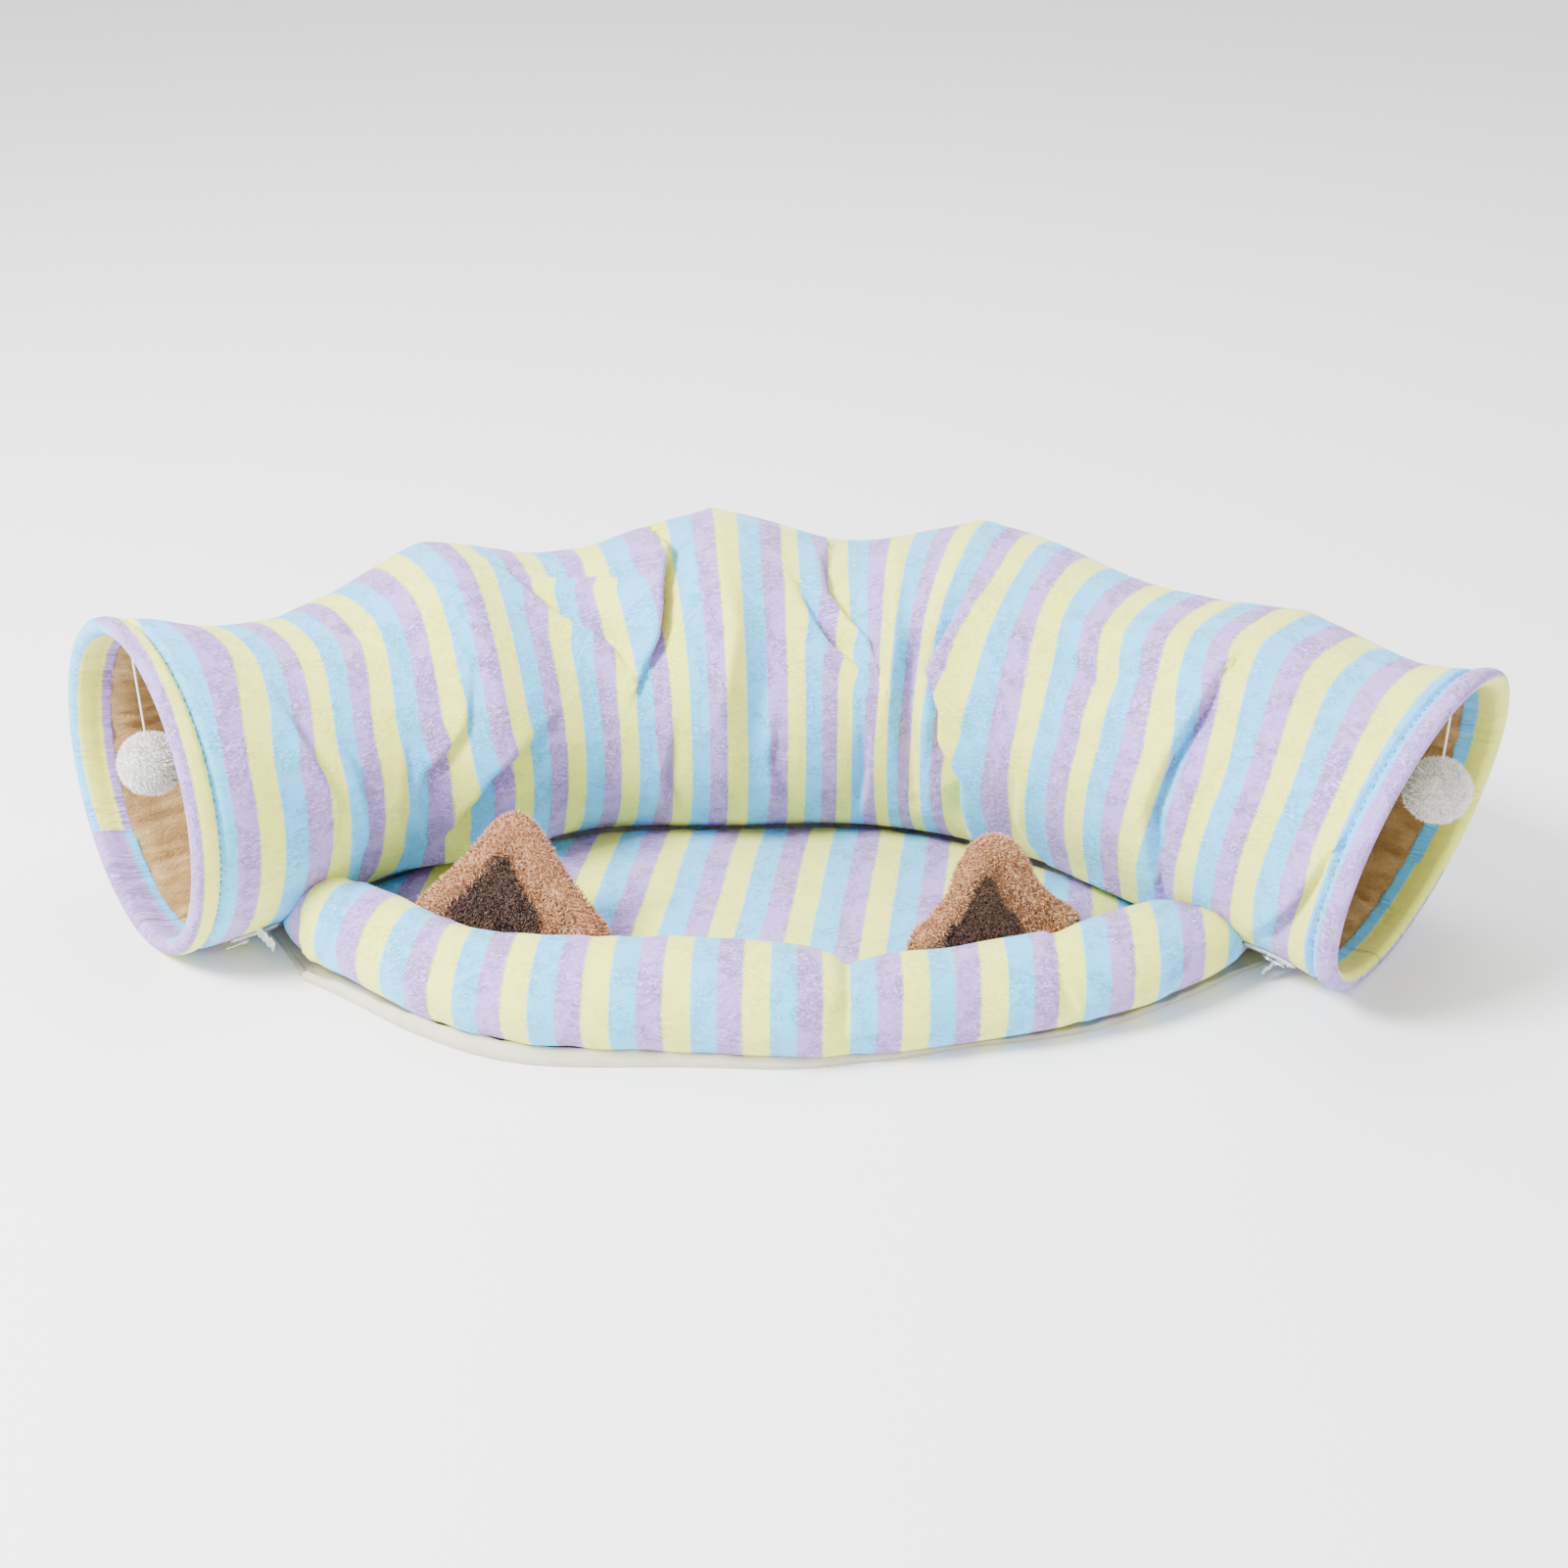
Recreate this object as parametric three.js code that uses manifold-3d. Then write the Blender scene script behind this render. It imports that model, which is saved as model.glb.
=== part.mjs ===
import * as THREE from 'three';
import { mergeVertices } from 'three/addons/utils/BufferGeometryUtils.js';
import Module from 'manifold-3d';

// A tunnel bed: a bent tube of striped plush with a padded bed zipped into its bend.
// Millimetres, +Z up. The origin is the middle of the underside and the bed opens towards -Y.

// Driving dimensions
const PLUSH = 2.2; // thickness of the tunnel's plush
const LINING = 1.0; // thickness of the nylon inside it
const LINING_GAP = 0.6; // between the plush and the lining
const ROLL_RADIUS = 7; // rolled hem round each mouth
const HEM_DEPTH = 46; // how far the plush turns in at a mouth
const HEM_SEAM = 30; // stitched groove behind the rolled hem
const HEM_THICK = 8; // doubled plush at that seam
const GROOVE_DEPTH = 2.4; // how far the stitching draws the plush in
const GROOVE_HALF = 5; // half the groove's width
const MEAN_RADIUS = 128; // of the tube, turns an angle into a length of cloth
const MAT_EDGE = 12; // height of the mat at its edge
const MAT_CROWN = 26; // height of the mat in its middle
const BASE_CLOTH = 2; // thickness of the cream cloth underneath
const SEAT = 0.6; // clearance between pieces that touch on the real bed
const TUBE_SEAT = 0.8; // clearance to the tube, whose faces are the coarsest
const FOOT = BASE_CLOTH + 0.5; // underside of what lies on the base cloth
const MAT_TUCK = 52; // from the tube's axis to the mat's back edge, below the tube
const CLOTH_TUCK = 48; // the same for the base cloth
const CORD_RADIUS = 0.9;
const CORD_HOLE = 0.5; // clearance round the cord where it enters the pile
const POMPOM_RADIUS = 25;
const POMPOM_CORE = 19;
const LOCKS = 46; // locks of pile on each pompom
const LOCK_RADIUS = 5.2; // of a lock at its foot
const LOCK_ROOT = 5; // how deep a lock's foot lies in the core
const LOCK_TURN = 2.399963; // the golden angle, which spreads the locks evenly
const TAPE_WIDTH = 12; // zip tape
const TAPE = 1.2; // thickness of the zip tape
const SLIDER = { length: 11, width: 7, height: 3.4 };
const PULL = { length: 16, width: 5, height: 1.2, lift: 2.8 };

// The tunnel's path and cross-section. heading and pitch turn the section; wide, up and down are its
// half-axes. The hoops sit where the section is roundest and the cloth sags between them.
const SECTIONS = table(
  ['along', 'x', 'y', 'heading', 'pitch', 'wide', 'up', 'down'],
  [
    [0, -513, 6, 35.5, -5, 136, 136, 136],
    [43, -474, 24, 37, -5, 128, 130, 131],
    [91, -435, 52, 39, -4, 124, 112, 131],
    [203, -348, 121, 36, -2, 119, 108, 131],
    [282, -279, 160, 27, 0, 131, 130, 133],
    [375, -193, 196, 18, 0, 126, 109, 131],
    [512, -57, 210, 4, 0, 133, 137, 133],
    [634, 65, 210, -3, 0, 127, 113, 131],
    [723, 152, 193, -18, 0, 131, 134, 133],
    [863, 273, 121, -35, -2, 124, 118, 131],
    [977, 362, 51, -39.5, -6, 129, 128, 133],
    [1096, 451, -28, -39, -8, 124, 126, 131],
    [1141, 483, -61, -38.4, -8, 136, 136, 136],
  ],
);
const TUNNEL_LENGTH = SECTIONS[SECTIONS.length - 1].along;

// Folds of the plush: each runs through places given as [along, angle], where angle 0 faces the bed and
// 90 is the top. A negative depth is a ridge.
const FOLDS = table(
  ['depth', 'half', 'places'],
  [
    [16, 19, [[477, 92], [461, 64], [449, 54], [441, 38], [421, 22]]],
    [-7, 14, [[333, 83], [347, 73], [365, 60], [389, 52], [423, 43], [439, 34]]],
    [9, 16, [[323, 20], [293, 7], [261, -5], [219, -21]]],
    [9, 16, [[255, 34], [243, 16], [213, 0]]],
    [8, 16, [[137, 18], [157, -6], [157, -37]]],
    [6, 14, [[601, 80], [611, 62], [631, 54], [655, 46]]],
    [7, 14, [[583, 50], [607, 41], [631, 33], [677, 20]]],
    [-5, 12, [[525, 52], [521, 43], [495, 6]]],
    [16, 19, [[729, 52], [713, 32], [733, 18], [745, 8], [767, -14], [763, -38]]],
    [-6, 12, [[673, 47], [677, 14]]],
    [8, 14, [[705, 26], [695, 4]]],
    [8, 16, [[961, 78], [971, 40], [963, 17], [951, -4]]],
    [6, 18, [[1009, 40], [997, -4]]],
    [9, 13, [[1111, 8], [1093, -10], [1073, -30]]],
  ],
);

// The bolster's centre line from the left corner of the bed to the right one, and its thickness.
const BOLSTER = table(
  ['x', 'y', 'z', 'thick'],
  [
    [-396, -40, 29, 22],
    [-388, -35, 31, 54],
    [-368, -35, 35, 72],
    [-320, -61, 38, 80],
    [-254, -106, 39, 82],
    [-182, -133, 42, 88],
    [-72, -137, 43, 90],
    [10, -144, 42, 88],
    [50, -144, 38, 78],
    [90, -139, 38, 78],
    [132, -130, 37, 76],
    [220, -110, 40, 82],
    [298, -69, 39, 80],
    [345, -40, 34, 66],
    [371, -37, 27, 36],
    [381, -44, 22, 12],
  ],
);
const BOLSTER_WIDE = 1.16; // width for each millimetre of thickness
const BOLSTER_HIGH = 0.9;

// Creases across the bolster, by the x of its centre line.
const PINCHES = table(
  ['x', 'half', 'depth'],
  [
    [-330, 14, 3],
    [-96, 14, 3],
    [50, 12, 7],
    [216, 12, 6],
    [300, 14, 3],
  ],
);

// How far the cream cloth reaches in front, as a share of the bolster's half width, and its rise.
const REACH = table(
  ['x', 'share', 'rise'],
  [
    [-420, 0.6, 3],
    [-330, 0.68, 8],
    [-240, 0.66, 7],
    [-150, 0.64, 7],
    [0, 0.6, 5],
    [60, 0.5, 3],
    [400, 0.48, 2],
  ],
);

const EARS = table(
  ['name', 'x', 'y', 'yaw', 'lean', 'outline'],
  [
    ['left', -212, -64, -15, 16, [[80, 0], [77, 28], [60, 47], [41, 68], [26, 88], [14, 103]]],
    ['right', 163, -67, 16, 12, [[70, 0], [66, 24], [49, 38], [35, 54], [27, 72], [17, 88]]],
  ],
);
const EAR_FOOT = 30; // height of the ears' lower edge above the floor

// Zip ends that show at the bed's corners: tape along the tube, the slider's place on it, and the way
// that its pull points along the tube.
const ZIPS = table(
  ['name', 'from', 'to', 'angle', 'slider', 'pull'],
  [
    ['left', 44, 78, -53, 52, -1],
    ['right', 1056, 1100, -50, 1078, 1],
  ],
);

const POMPOMS = table(
  ['name', 'along', 'cord'],
  [
    ['left', 10, 92],
    ['right', 1128, 68],
  ],
);

const COLOURS = {
  stripe: 0xcfdcec,
  lining: 0xb58f5a,
  cream: 0xdddac9,
  ear: 0xc79b78,
  inner: 0x5a4038,
  pile: 0xdad6d2,
  cord: 0xf0efec,
  tape: 0xd3d2cf,
  metal: 0xc4c6c8,
};

const wasm = await Module();
wasm.setup();

function table(columns, rows) {
  return rows.map((row) => Object.fromEntries(columns.map((column, i) => [column, row[i]])));
}

function radians(angle) {
  return THREE.MathUtils.degToRad(angle);
}

// Smooth curve through a table's column, read at a value of its key column.
function track(rows, key, column, at) {
  const last = rows.length - 1;
  const slope = (i) => (rows[i + 1][column] - rows[i][column]) / (rows[i + 1][key] - rows[i][key]);
  const tangent = (i) => {
    if (i === 0) return slope(0);
    if (i === last) return slope(last - 1);
    const before = rows[i][key] - rows[i - 1][key];
    const after = rows[i + 1][key] - rows[i][key];
    return (slope(i) * before + slope(i - 1) * after) / (before + after);
  };
  let i = 0;
  while (i < last - 1 && at > rows[i + 1][key]) i += 1;
  const span = rows[i + 1][key] - rows[i][key];
  const t = (at - rows[i][key]) / span;
  const rest = (2 * t ** 3 - 3 * t ** 2 + 1) * rows[i][column] + (3 * t ** 2 - 2 * t ** 3) * rows[i + 1][column];
  return rest + span * ((t ** 3 - 2 * t ** 2 + t) * tangent(i) + (t ** 3 - t ** 2) * tangent(i + 1));
}

// Depth of all folds at a place on the tunnel, measured in the opened-out cloth.
function foldDepth(along, angle) {
  const turn = (a) => radians(a) * MEAN_RADIUS;
  const here = new THREE.Vector2(along, turn(angle > 230 ? angle - 360 : angle));
  let depth = 0;
  for (const fold of FOLDS) {
    const points = fold.places.map(([s, a]) => new THREE.Vector2(s, turn(a)));
    let share = 0;
    for (let i = 0; i < points.length - 1; i += 1) {
      const leg = points[i + 1].clone().sub(points[i]);
      const t = THREE.MathUtils.clamp(here.clone().sub(points[i]).dot(leg) / leg.lengthSq(), 0, 1);
      const away = here.distanceTo(points[i].clone().addScaledVector(leg, t)) / fold.half;
      const run = (i + t) / (points.length - 1);
      const fade = Math.sqrt(Math.sin(Math.PI * THREE.MathUtils.clamp(run, 0.03, 0.97)));
      share = Math.max(share, fade * Math.exp(-away * away));
    }
    depth += fold.depth * share;
  }
  return depth;
}

function tunnelFrame(along) {
  const get = (column) => track(SECTIONS, 'along', column, THREE.MathUtils.clamp(along, 0, TUNNEL_LENGTH));
  const heading = radians(get('heading'));
  const pitch = radians(get('pitch'));
  const beyond = along - THREE.MathUtils.clamp(along, 0, TUNNEL_LENGTH);
  const forward = new THREE.Vector3(Math.cos(heading), Math.sin(heading), 0);
  return {
    centre: new THREE.Vector3(get('x'), get('y'), get('down') * Math.cos(pitch)).addScaledVector(forward, beyond),
    side: new THREE.Vector3(Math.sin(heading), -Math.cos(heading), 0),
    top: new THREE.Vector3(
      -Math.cos(heading) * Math.sin(pitch),
      -Math.sin(heading) * Math.sin(pitch),
      Math.cos(pitch),
    ),
    wide: get('wide'),
    up: get('up'),
    down: get('down'),
  };
}

// A point of the tube's wall; offset is measured outwards from the plush's outer face. The tube lies
// flat where it meets the floor.
function tunnelPoint(along, angle, offset) {
  const frame = tunnelFrame(along);
  const a = radians(angle);
  const push = offset - foldDepth(along, angle);
  const tall = Math.sin(a) > 0 ? frame.up : frame.down;
  const point = frame.centre.clone();
  point.addScaledVector(frame.side, (frame.wide + push) * Math.cos(a));
  point.addScaledVector(frame.top, (tall + push) * Math.sin(a));
  point.z = Math.max(point.z, -offset);
  return point;
}

// Angles round the tube, closer together on the side that faces the bed.
const ANGLES = [];
for (let i = 0; i < 13; i += 1) ANGLES.push(-45 + 11.25 * i);
for (let i = 1; i < 11; i += 1) ANGLES.push(90 + (225 * i) / 11);

// Stations along the tube, closer together at the two deep folds.
const DEEP_FOLDS = [[397, 507], [677, 787]];
const STEP = { plain: 40, deep: 18 };
const STATIONS = [];
for (let s = HEM_DEPTH + 6; s < TUNNEL_LENGTH - HEM_DEPTH - 4; ) {
  STATIONS.push(s);
  const deep = DEEP_FOLDS.some(([from, to]) => s > from && s < to);
  s += deep ? STEP.deep : STEP.plain;
}

function ring(along, offset) {
  return ANGLES.map((angle) => tunnelPoint(along, angle, offset));
}

// Builds a closed solid from rings of points. Without back, the two end rings are closed to their
// middles. With back, the solid is a tube's wall: its rings run along one face and return along the
// other from ring number back on, with the other diagonals, so that the two faces stay parallel.
function solidOf(rings, back = 0) {
  const count = rings[0].length;
  const positions = rings.flat().flatMap((p) => [p.x, p.y, p.z]);
  const index = [];
  const last = back ? rings.length : rings.length - 1;
  for (let r = 0; r < last; r += 1) {
    const here = r * count;
    const next = ((r + 1) % rings.length) * count;
    for (let i = 0; i < count; i += 1) {
      const j = (i + 1) % count;
      if (back && r >= back) {
        index.push(here + i, here + j, next + j);
        index.push(here + i, next + j, next + i);
      } else {
        index.push(here + i, here + j, next + i);
        index.push(here + j, next + j, next + i);
      }
    }
  }
  if (!back) {
    for (const [r, flip] of [[0, true], [rings.length - 1, false]]) {
      const middle = rings[r].reduce((sum, p) => sum.add(p), new THREE.Vector3()).divideScalar(count);
      const centre = positions.length / 3;
      positions.push(middle.x, middle.y, middle.z);
      for (let i = 0; i < count; i += 1) {
        const a = r * count + i;
        const b = r * count + ((i + 1) % count);
        index.push(...(flip ? [b, a, centre] : [a, b, centre]));
      }
    }
  }
  const geometry = new THREE.BufferGeometry();
  geometry.setAttribute('position', new THREE.Float32BufferAttribute(positions, 3));
  geometry.setIndex(index);
  return facingOut(geometry);
}

function facingOut(geometry) {
  const index = geometry.index.array;
  const position = geometry.attributes.position;
  const [a, b, c] = [new THREE.Vector3(), new THREE.Vector3(), new THREE.Vector3()];
  let volume = 0;
  for (let i = 0; i < index.length; i += 3) {
    a.fromBufferAttribute(position, index[i]);
    b.fromBufferAttribute(position, index[i + 1]);
    c.fromBufferAttribute(position, index[i + 2]);
    volume += a.dot(b.cross(c));
  }
  if (volume < 0) {
    for (let i = 0; i < index.length; i += 3) {
      [index[i], index[i + 1]] = [index[i + 1], index[i]];
    }
  }
  return geometry;
}

function toManifold(source) {
  const bare = source.clone();
  bare.deleteAttribute('normal');
  bare.deleteAttribute('uv');
  const merged = mergeVertices(bare, 1e-4);
  return new wasm.Manifold(
    new wasm.Mesh({
      numProp: 3,
      vertProperties: new Float32Array(merged.attributes.position.array),
      triVerts: new Uint32Array(merged.index.array),
    }),
  );
}

function fromManifold(manifold) {
  const mesh = manifold.getMesh();
  const geometry = new THREE.BufferGeometry();
  geometry.setAttribute('position', new THREE.Float32BufferAttribute(mesh.vertProperties, 3));
  geometry.setIndex(Array.from(mesh.triVerts));
  return geometry;
}

const bed = new THREE.Group();
bed.name = 'tunnel_bed';

function addMesh(name, geometry, colour, roughness = 0.95, metalness = 0) {
  const mesh = new THREE.Mesh(geometry, new THREE.MeshStandardMaterial({ color: colour, roughness, metalness }));
  mesh.name = name;
  bed.add(mesh);
  return mesh;
}

// Tunnel cover: the plush turns over at each mouth round a rolled edge and ends in a hem inside.
function coverRings() {
  const rings = [];
  const end = TUNNEL_LENGTH;
  const groove = [
    [HEM_SEAM - GROOVE_HALF, 0],
    [HEM_SEAM, -GROOVE_DEPTH],
    [HEM_SEAM + GROOVE_HALF, 0],
  ];
  const outer = [[ROLL_RADIUS, 0], ...groove];
  STATIONS.forEach((s) => outer.push([s, 0]));
  [...groove].reverse().forEach(([s, offset]) => outer.push([end - s, offset]));
  outer.push([end - ROLL_RADIUS, 0]);
  outer.forEach(([s, offset]) => rings.push(ring(s, offset)));
  const back = outer.length;
  const rolled = (middle, sign) =>
    [1, 2, 3, 4].map((i) => {
      const a = (Math.PI * i) / 5;
      return ring(middle + sign * ROLL_RADIUS * Math.sin(a), ROLL_RADIUS * (Math.cos(a) - 1));
    });
  rings.push(...rolled(end - ROLL_RADIUS, 1));
  const hem = [
    [ROLL_RADIUS, -2 * ROLL_RADIUS],
    [HEM_SEAM, -HEM_THICK],
    [HEM_DEPTH, 1 - HEM_THICK],
    [HEM_DEPTH + 0.8, -PLUSH],
  ];
  hem.forEach(([s, offset]) => rings.push(ring(end - s, offset)));
  [...STATIONS].reverse().forEach((s) => rings.push(ring(s, -PLUSH)));
  [...hem].reverse().forEach(([s, offset]) => rings.push(ring(s, offset)));
  rings.push(...rolled(ROLL_RADIUS, -1).reverse());
  return [rings, back];
}
addMesh('tunnel_cover', solidOf(...coverRings()), COLOURS.stripe);

// Tunnel lining: a thin nylon tube just inside the plush, from hem to hem.
function liningRings() {
  const face = PLUSH + LINING_GAP;
  const outer = STATIONS.map((s) => ring(s, -face));
  const inner = [...STATIONS].reverse().map((s) => ring(s, -face - LINING));
  return [[...outer, ...inner], outer.length];
}
addMesh('tunnel_lining', solidOf(...liningRings()), COLOURS.lining, 0.6);

// The space that the tunnel takes, a little larger than the tube, for the pieces that lie against it.
const tunnelSpace = toManifold(
  solidOf(
    [ROLL_RADIUS, 25, ...STATIONS, TUNNEL_LENGTH - 25, TUNNEL_LENGTH - ROLL_RADIUS].map((s) => ring(s, TUBE_SEAT)),
  ),
);

// Bolster: a filled roll, flat underneath, drawn in to a point at each corner of the bed.
const BOLSTER_ROWS = BOLSTER.map((row, i) => ({ ...row, step: i }));

function bolsterFrame(step) {
  const get = (column, at = step) => track(BOLSTER_ROWS, 'step', column, at);
  const last = BOLSTER_ROWS.length - 1;
  const before = Math.max(step - 0.25, 0);
  const after = Math.min(step + 0.25, last);
  const run = new THREE.Vector2(get('x', after) - get('x', before), get('y', after) - get('y', before));
  run.normalize();
  const x = get('x');
  const thick = Math.max(get('thick'), 6);
  let pinch = 0;
  for (const row of PINCHES) pinch += row.depth * Math.exp(-(((x - row.x) / row.half) ** 2));
  return { x, y: get('y'), z: get('z'), run, out: new THREE.Vector2(run.y, -run.x), thick, pinch };
}

function bolsterRing(step, grow) {
  const frame = bolsterFrame(step);
  const beyond = step === 0 ? -grow : step === BOLSTER_ROWS.length - 1 ? grow : 0;
  const points = [];
  for (let i = 0; i < 18; i += 1) {
    const a = (2 * Math.PI * i) / 18;
    const lift = Math.sin(a);
    const size = frame.thick - frame.pinch * (0.8 + 0.4 * lift);
    const reach = ((size * BOLSTER_WIDE) / 2 + grow) * Math.cos(a);
    const z = frame.z + ((size * BOLSTER_HIGH) / 2 + grow) * lift;
    points.push(
      new THREE.Vector3(
        frame.x + frame.out.x * reach + frame.run.x * beyond,
        frame.y + frame.out.y * reach + frame.run.y * beyond,
        Math.max(z, FOOT - grow),
      ),
    );
  }
  return points;
}

function bolsterSolid(grow) {
  const rings = [];
  for (let step = 0; step <= BOLSTER_ROWS.length - 1; step += 0.5) rings.push(bolsterRing(step, grow));
  return toManifold(solidOf(rings));
}

// A strip of zip tape on the plush.
function tapeSolid(zip, grow) {
  const half = THREE.MathUtils.radToDeg((TAPE_WIDTH / 2 + grow) / MEAN_RADIUS);
  const [low, high] = [SEAT - grow, SEAT + TAPE + grow];
  const corners = [[-half, low], [0, low], [half, low], [half, high], [0, high], [-half, high]];
  const rings = [];
  for (let i = 0; i <= 4; i += 1) {
    const s = THREE.MathUtils.lerp(zip.from - grow, zip.to + grow, i / 4);
    rings.push(corners.map(([a, offset]) => tunnelPoint(s, zip.angle + a, offset)));
  }
  return solidOf(rings);
}

// Cuts away the room that the tube and the zip tapes take.
function clearOfTunnel(solid) {
  return ZIPS.reduce((left, zip) => left.subtract(toManifold(tapeSolid(zip, SEAT))), solid.subtract(tunnelSpace));
}
const bolster = clearOfTunnel(bolsterSolid(0));
addMesh('bolster', fromManifold(bolster), COLOURS.stripe);
const bolsterSpace = bolsterSolid(SEAT);

// The outline of the bed: along the tunnel at the back, along the bolster's centre line in front, from
// tip steps short of each of the bolster's ends.
function bedOutline(behind, tip, share) {
  const back = [];
  for (let s = 70 + 12 * tip; s <= 1065 - 12 * tip; s += 59) {
    const frame = tunnelFrame(s);
    back.push([frame.centre.x + frame.side.x * behind, frame.centre.y + frame.side.y * behind, 0, 0]);
  }
  const front = [];
  for (let step = BOLSTER_ROWS.length - 1 - tip; step >= tip; step -= 0.75) {
    const frame = bolsterFrame(step);
    const reach = (share(frame.x) * frame.thick * BOLSTER_WIDE) / 2;
    const full = THREE.MathUtils.smoothstep(frame.thick, 45, 75);
    front.push([frame.x + frame.out.x * reach, frame.y + frame.out.y * reach, frame.x, full]);
  }
  return [...back, ...front];
}

// Mat: a padded half-moon, highest in the middle, its edge tucked under the tube and the bolster.
const MAT_RINGS = table(
  ['share', 'rise'],
  [
    [0.25, 1],
    [0.55, 0.94],
    [0.78, 0.72],
    [0.92, 0.3],
    [1, 0],
  ],
);

function matSolid(grow) {
  const outline = bedOutline(MAT_TUCK, 1.5, () => -0.1);
  const top = MAT_RINGS.map(({ share, rise }) =>
    outline.map(([x, y]) => new THREE.Vector3(x * share, y * share, MAT_EDGE + grow + rise * (MAT_CROWN - MAT_EDGE))),
  );
  const bottom = [0.99, 0.4].map((share) => outline.map(([x, y]) => new THREE.Vector3(x * share, y * share, FOOT)));
  return toManifold(solidOf([...top, ...bottom]));
}
const mat = clearOfTunnel(matSolid(0)).subtract(bolsterSpace);
addMesh('mat', fromManifold(mat), COLOURS.stripe);

// Base cloth: lies on the floor and turns up a little in front of the bolster's foot.
function baseCloth() {
  const value = (x, column) => track(REACH, 'x', column, THREE.MathUtils.clamp(x, -420, 400));
  const outline = bedOutline(CLOTH_TUCK, 0.5, (x) => value(x, 'share'));
  const rim = [[0, 1], [8, 0.42], [17, 0.06], [30, 0]];
  const loop = ([inset, share], thickness) =>
    outline.map(([x, y, at, front]) => {
      const pull = 1 - inset / Math.hypot(x, y);
      const z = share * front * value(at, 'rise') + thickness;
      return new THREE.Vector3(x * pull, y * pull, z);
    });
  const inner = (thickness) => outline.map(([x, y]) => new THREE.Vector3(x * 0.4, y * 0.4, thickness));
  return solidOf([
    inner(BASE_CLOTH),
    ...[...rim].reverse().map((row) => loop(row, BASE_CLOTH)),
    ...rim.map((row) => loop(row, 0)),
    inner(0),
  ]);
}
addMesh('base_cloth', fromManifold(toManifold(baseCloth()).subtract(tunnelSpace)), COLOURS.cream);

// Ears: a thick plush border round a thinner dark panel, standing behind the bolster.
function earOutline(side) {
  const left = side.map(([x, z]) => new THREE.Vector2(-x, z));
  const right = [...side].reverse().map(([x, z]) => new THREE.Vector2(x, z));
  const [x, z] = side[side.length - 1];
  const shape = new THREE.Shape();
  shape.moveTo(left[0].x, left[0].y);
  shape.splineThru([...left.slice(1), new THREE.Vector2(0, z + x * 0.5), ...right]);
  shape.closePath();
  return shape.getSpacedPoints(26).slice(0, -1);
}

const EAR_FRONT = table(
  ['share', 'front'],
  [
    [0.3, 5],
    [0.56, 5],
    [0.66, 7],
    [0.8, 11],
    [0.93, 8],
    [1, 2],
  ],
);

function earSolids(ear) {
  const outline = earOutline(ear.outline);
  const middle = new THREE.Vector2(0, ear.outline[ear.outline.length - 1][1] * 0.36);
  const place = new THREE.Matrix4().makeTranslation(ear.x, ear.y, EAR_FOOT);
  place.multiply(new THREE.Matrix4().makeRotationZ(radians(ear.yaw)));
  place.multiply(new THREE.Matrix4().makeRotationX(radians(-ear.lean)));
  const loop = (share, depth) =>
    outline.map((p) => {
      const flat = p.clone().sub(middle).multiplyScalar(share).add(middle);
      return new THREE.Vector3(flat.x, -depth, flat.y).applyMatrix4(place);
    });
  const front = EAR_FRONT.map((row) => loop(row.share, row.front));
  const back = [[0.96, -3], [0.8, -6], [0.4, -8]].map(([share, depth]) => loop(share, depth));
  const panel = [[0.2, 10], [0.45, 9.4], [0.56, 7.6], [0.55, 5.6], [0.2, 5.6]];
  return {
    outer: solidOf([...front, ...back]),
    inner: solidOf(panel.map(([share, depth]) => loop(share, depth))),
  };
}

const matSpace = matSolid(SEAT);
for (const ear of EARS) {
  const solids = earSolids(ear);
  const clear = (solid) => fromManifold(toManifold(solid).subtract(bolsterSpace).subtract(matSpace));
  addMesh(`ear_${ear.name}_outer`, clear(solids.outer), COLOURS.ear);
  addMesh(`ear_${ear.name}_inner`, clear(solids.inner), COLOURS.inner);
}

// Pompoms: a ball of pile with its locks rooted in the core, each on a cord from the mouth's hem.
function pompom(centre, cordEnd) {
  let ball = toManifold(new THREE.IcosahedronGeometry(POMPOM_CORE, 1).translate(...centre.toArray()));
  const outwards = new THREE.Vector3();
  for (let i = 0; i < LOCKS; i += 1) {
    const height = 1 - (2 * (i + 0.5)) / LOCKS;
    const turn = i * LOCK_TURN;
    const around = Math.sqrt(1 - height * height);
    outwards.set(around * Math.cos(turn), around * Math.sin(turn), height);
    const length = POMPOM_RADIUS - POMPOM_CORE + LOCK_ROOT + Math.sin(i * 5.1);
    const lock = new THREE.ConeGeometry(LOCK_RADIUS, length, 3);
    lock.applyQuaternion(new THREE.Quaternion().setFromUnitVectors(new THREE.Vector3(0, 1, 0), outwards));
    const middle = centre.clone().addScaledVector(outwards, POMPOM_CORE - LOCK_ROOT + length / 2);
    lock.translate(middle.x, middle.y, middle.z);
    ball = ball.add(toManifold(lock));
  }
  const wide = CORD_RADIUS + CORD_HOLE;
  const hole = new THREE.CylinderGeometry(wide, wide, POMPOM_RADIUS * 2, 8).rotateX(Math.PI / 2);
  hole.translate(centre.x, centre.y, cordEnd - CORD_HOLE + POMPOM_RADIUS);
  return fromManifold(ball.subtract(toManifold(hole)));
}

function cord(from, to) {
  const shape = new THREE.Shape();
  for (let i = 0; i < 8; i += 1) {
    const a = (Math.PI * i) / 4;
    const [x, y] = [CORD_RADIUS * Math.cos(a), CORD_RADIUS * Math.sin(a)];
    if (i === 0) shape.moveTo(x, y);
    else shape.lineTo(x, y);
  }
  const path = new THREE.LineCurve3(from, to);
  const geometry = new THREE.ExtrudeGeometry(shape, { steps: 6, extrudePath: path, bevelEnabled: false });
  geometry.deleteAttribute('normal');
  geometry.deleteAttribute('uv');
  return facingOut(mergeVertices(geometry, 1e-4));
}

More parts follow.
